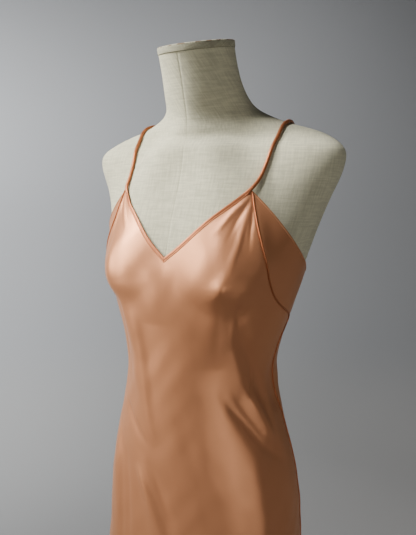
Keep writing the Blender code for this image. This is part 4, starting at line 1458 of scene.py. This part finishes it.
class SLIP_OT_cap(bpy.types.Operator):
    """Makes the linen-covered cap on the neck."""

    bl_idname = "slip.cap"
    bl_label = "Neck cap"

    def execute(self, context):
        form = context.scene.slip_form
        deselect_all()
        bpy.ops.mesh.primitive_cylinder_add(vertices=ROUND_SIDES, radius=CAP_RADIUS, depth=CAP_THICKNESS)
        obj = bpy.context.active_object
        half = CAP_THICKNESS / 2
        select_edges(obj, lambda place: place.z > half - NEAR)
        start_editing()
        bpy.ops.mesh.select_mode(type="EDGE")
        bpy.ops.mesh.bevel(offset=CAP_BEVEL, segments=4, affect="EDGES")
        stop_editing()
        select_edges(obj, lambda place: place.z < -half + NEAR)
        start_editing()
        bpy.ops.mesh.bevel(offset=CAP_FOOT_BEVEL, segments=3, affect="EDGES")
        stop_editing()
        select_faces(obj, lambda centre, normal: normal.z > 0.99 and centre.z > half - NEAR)
        start_editing()
        bpy.ops.mesh.select_mode(type="FACE")
        for inset, rise in CAP_STEPS:
            bpy.ops.mesh.inset(thickness=inset, depth=rise)
        stop_editing()
        centre, lean = cap_place()
        obj.data.transform(Matrix.Translation(centre) @ Matrix.Rotation(lean, 4, "X"))
        shade(obj, degrees=35)
        layer = obj.data.uv_layers.active
        for loop in obj.data.loops:
            place = obj.data.vertices[loop.vertex_index].co
            layer.data[loop.index].uv = (place.x + 0.4 * place.z, place.y - place.z)
        cap_linen = tuple(CAP_SHADE * channel for channel in form.linen)
        obj.data.materials.append(linen_material("Cap linen", cap_linen, worn=True))
        name_piece(obj, "linen_cap", "cap_cloth", "neck_cap")
        return {"FINISHED"}


def spun(profile):
    """A turned piece, spun from a line of (radius, height) that runs from the axis to the axis."""
    deselect_all()
    bpy.ops.mesh.primitive_plane_add(size=1)
    obj = bpy.context.active_object
    obj.data.clear_geometry()
    edges = [(i, i + 1) for i in range(len(profile) - 1)]
    obj.data.from_pydata([(radius, 0, height) for radius, height in profile], edges, [])
    start_editing()
    bpy.ops.mesh.select_all(action="SELECT")
    bpy.ops.mesh.spin(steps=ROUND_SIDES, angle=2 * math.pi, center=(0, 0, 0), axis=(0, 0, 1))
    bpy.ops.mesh.select_all(action="SELECT")
    bpy.ops.mesh.remove_doubles(threshold=0.00001)
    bpy.ops.mesh.normals_make_consistent(inside=False)
    stop_editing()
    shade(obj, degrees=32)
    return obj


def rounded(corners, radius, steps=4):
    """A profile with its inner corners rounded."""
    points = [corners[0]]
    for before, corner, after in zip(corners, corners[1:], corners[2:]):
        corner = np.array(corner, float)
        to_before, to_after = np.array(before) - corner, np.array(after) - corner
        reach = min(radius, 0.45 * np.linalg.norm(to_before), 0.45 * np.linalg.norm(to_after))
        start = corner + reach * unit(to_before)
        end = corner + reach * unit(to_after)
        for share in np.linspace(0, 1, steps + 1):
            point = (1 - share) ** 2 * start + 2 * share * (1 - share) * corner + share**2 * end
            points.append(tuple(point))
    points.append(corners[-1])
    return points


class SLIP_OT_stand(bpy.types.Operator):
    """Makes the collar under the torso, the pole and the round base plate."""

    bl_idname = "slip.stand"
    bl_label = "Stand"

    def execute(self, context):
        form = context.scene.slip_form
        collar_top = APEX_HEIGHT + FORM_SECTIONS[0].height - CAP_GAP
        collar_foot = collar_top - COLLAR_HEIGHT
        boss_top = BASE_THICKNESS + BOSS_HEIGHT
        pole_foot = boss_top + CAP_GAP
        pole_top = collar_foot - CAP_GAP
        collar = [
            (0, collar_top), (COLLAR_RADIUS, collar_top), (COLLAR_RADIUS, collar_top - COLLAR_HEIGHT / 4),
            (COLLAR_FOOT_RADIUS, collar_foot), (0, collar_foot),
        ]
        pole = [(0, pole_top), (POLE_RADIUS, pole_top), (POLE_RADIUS, pole_foot), (0, pole_foot)]
        base = [
            (0, boss_top), (BOSS_TOP_RADIUS, boss_top),
            (BOSS_FOOT_RADIUS, BASE_THICKNESS + BOSS_HEIGHT / 5),
            (BOSS_FOOT_RADIUS + BASE_EDGE, BASE_THICKNESS),
            (BASE_RADIUS - BASE_EDGE, BASE_THICKNESS), (BASE_RADIUS, BASE_THICKNESS - BASE_EDGE),
            (BASE_RADIUS, 0), (0, 0),
        ]
        steel = steel_material(form.steel)
        pieces = (
            ("stand_collar", "pole_collar", collar, 0.0012, steel, "brushed_steel"),
            ("stand_pole", "pole", pole, 0.0010, steel, "brushed_steel"),
            ("stand_base", "base_plate", base, 0.0014, paint_material(form.paint), "painted_steel"),
        )
        for name, node, corners, radius, material, slot in pieces:
            obj = spun(rounded(corners, radius))
            obj.data.materials.append(material)
            name_piece(obj, name, slot, node)
        return {"FINISHED"}


# The studio.

FLOOR_RADIUS = 1.7
COVE_RADIUS = 1.2
WALL_TOP = 3.4
COVE_STEPS = 10
CAMERA_AZIMUTH = 28.5
CAMERA_DISTANCE = 0.72
CAMERA_HEIGHT = 1.2886
CAMERA_PITCH = -8.33
CAMERA_PAN = -0.29
CAMERA_ROLL = 0.78
SENSOR = 36
CAMERA_LENS = 486.5 / 535 * SENSOR

# The lights. A place and an aim are (azimuth, distance from the axis, height), and the power is a share
# of one of the studio's settings.
Light = namedtuple("Light", "name place aim size setting share colour spread")
NECK, CHEST, WAIST = (0, 0, 1.42), (0, 0, 1.32), (0, 0, 1.0)
SMALL, PANE = (0.45, 0.45), (0.5, 0.5)
LIGHTS = [
    Light("Window", (-60, 2.30, 2.85), NECK, SMALL, "key", 0.62, (1.0, 0.965, 0.91), 32),
    Light("Skylight", (-38, 1.78, 3.42), CHEST, SMALL, "key", 0.70, (1, 0.99, 0.98), 42),
    Light("Low window", (-47, 2.60, 1.90), CHEST, (1.0, 1.0), "key", 0.75, (1, 0.955, 0.87), 60),
    Light("Room", (48, 2.12, 0.43), WAIST, (1.4, 1.2), "room", 1, (1.0, 0.97, 0.92), 70),
    Light("Wall wash", (-100, 1.5, 1.9), (-121, 2.9, 0.9), PANE, "wash", 1, (0.95, 0.98, 1.0), 180),
    Light("Back wash", (-160, 1.2, 2.7), (-152, 2.9, 1.7), PANE, "wash", 0.10, (0.96, 0.98, 1.0), 140),
]
LIGHTS += [
    Light("Ring wash", (turn, 1.1, 2.7), (turn, 2.9, 0.8), PANE, "wash", share, (1, 0.99, 0.97), 160)
    for turn, share in ((-55, 0.12), (10, 0.055), (65, 0.05), (120, 0.03))
]


def from_azimuth(azimuth, distance, height):
    """A place round the object: 0 degrees is in front of it and 90 at the wearer's left."""
    turn = math.radians(azimuth)
    return Vector((distance * math.sin(turn), -distance * math.cos(turn), height))


def add_light(light, studio):
    """A soft area light that faces its aim."""
    deselect_all()
    place = from_azimuth(*light.place)
    bpy.ops.object.light_add(type="AREA", location=place)
    obj = bpy.context.active_object
    obj.name = light.name
    obj.rotation_euler = (from_azimuth(*light.aim) - place).to_track_quat("-Z", "Y").to_euler()
    obj.data.shape = "RECTANGLE"
    obj.data.size, obj.data.size_y = light.size
    obj.data.energy = light.share * getattr(studio, light.setting)
    obj.data.color = light.colour
    obj.data.spread = math.radians(light.spread)


def add_floor(studio):
    """A round floor whose edge curves up into a wall."""
    deselect_all()
    bpy.ops.mesh.primitive_circle_add(vertices=ROUND_SIDES, radius=FLOOR_RADIUS, fill_type="NGON")
    obj = bpy.context.active_object
    start_editing()
    bpy.ops.mesh.select_mode(type="EDGE")
    bpy.ops.mesh.select_all(action="SELECT")
    bpy.ops.mesh.region_to_loop()
    turns = [math.radians(90 * step / COVE_STEPS) for step in range(COVE_STEPS + 1)]
    places = [
        (FLOOR_RADIUS + COVE_RADIUS * math.sin(turn), COVE_RADIUS * (1 - math.cos(turn))) for turn in turns
    ]
    places.append((places[-1][0], WALL_TOP))
    for (radius, height), (next_radius, next_height) in zip(places, places[1:]):
        bpy.ops.mesh.extrude_edges_move(TRANSFORM_OT_translate={"value": (0, 0, next_height - height)})
        scale = next_radius / radius
        bpy.ops.transform.resize(value=(scale, scale, 1), center_override=(0, 0, next_height))
    stop_editing()
    bpy.ops.object.shade_smooth()
    obj.name = "studio_floor"
    obj.data.materials.append(wall_material(studio.floor, studio.wall))


def add_camera(scene):
    """The camera, which looks almost level at the bodice from a little to the wearer's left."""
    camera = bpy.data.cameras.new("Camera")
    camera.sensor_width = SENSOR
    camera.lens = CAMERA_LENS
    camera.clip_start = 0.01
    eye = bpy.data.objects.new("Camera", camera)
    scene.collection.objects.link(eye)
    place = from_azimuth(CAMERA_AZIMUTH, CAMERA_DISTANCE, CAMERA_HEIGHT)
    heading = math.radians(CAMERA_AZIMUTH + CAMERA_PAN)
    pitch, roll = math.radians(CAMERA_PITCH), math.radians(CAMERA_ROLL)
    level_part = math.cos(pitch)
    forward = Vector((-math.sin(heading) * level_part, math.cos(heading) * level_part, math.sin(pitch)))
    level = Vector((math.cos(heading), math.sin(heading), 0))
    upright = level.cross(forward)
    right = math.cos(roll) * level + math.sin(roll) * upright
    up = -math.sin(roll) * level + math.cos(roll) * upright
    eye.matrix_world = Matrix.Translation(place) @ Matrix((right, up, -forward)).transposed().to_4x4()
    scene.camera = eye


class SLIP_OT_studio(bpy.types.Operator):
    """Makes the floor with the wall that curves up from it, the lights and the camera."""

    bl_idname = "slip.studio"
    bl_label = "Floor, light and camera"

    def execute(self, context):
        studio = context.scene.slip_studio
        add_floor(studio)
        world = bpy.data.worlds.new("Studio air")
        world.use_nodes = True
        background = world.node_tree.nodes["Background"]
        background.inputs["Color"].default_value = (1.0, 0.90, 0.80, 1)
        background.inputs["Strength"].default_value = studio.fill
        context.scene.world = world
        for light in LIGHTS:
            add_light(light, studio)
        add_camera(context.scene)
        return {"FINISHED"}


class SLIP_PT_panel(bpy.types.Panel):
    """Lists the steps that build the dress, the form and the studio."""

    bl_label = "Slip dress"
    bl_idname = "SLIP_PT_panel"
    bl_space_type = "VIEW_3D"
    bl_region_type = "UI"
    bl_category = "Slip dress"

    def draw(self, context):
        for settings in (context.scene.slip_dress, context.scene.slip_form, context.scene.slip_studio):
            box = self.layout.box()
            for key in settings.__annotations__:
                box.prop(settings, key)
        for operator in OPERATORS:
            self.layout.operator(operator.bl_idname)


OPERATORS = (
    SLIP_OT_studio,
    SLIP_OT_torso,
    SLIP_OT_cap,
    SLIP_OT_stand,
    SLIP_OT_panels,
    SLIP_OT_neckline,
    SLIP_OT_pipings,
    SLIP_OT_stitches,
    SLIP_OT_declare,
)
CLASSES = (DressSettings, FormSettings, StudioSettings, *OPERATORS, SLIP_PT_panel)


def register():
    for cls in CLASSES:
        bpy.utils.register_class(cls)
    bpy.types.Scene.slip_dress = bpy.props.PointerProperty(type=DressSettings)
    bpy.types.Scene.slip_form = bpy.props.PointerProperty(type=FormSettings)
    bpy.types.Scene.slip_studio = bpy.props.PointerProperty(type=StudioSettings)


def unregister():
    del bpy.types.Scene.slip_studio
    del bpy.types.Scene.slip_form
    del bpy.types.Scene.slip_dress
    for cls in reversed(CLASSES):
        bpy.utils.unregister_class(cls)


def main():
    register()
    for operator in OPERATORS:
        group, name = operator.bl_idname.split(".")
        getattr(getattr(bpy.ops, group), name)()


if __name__ == "__main__":
    main()
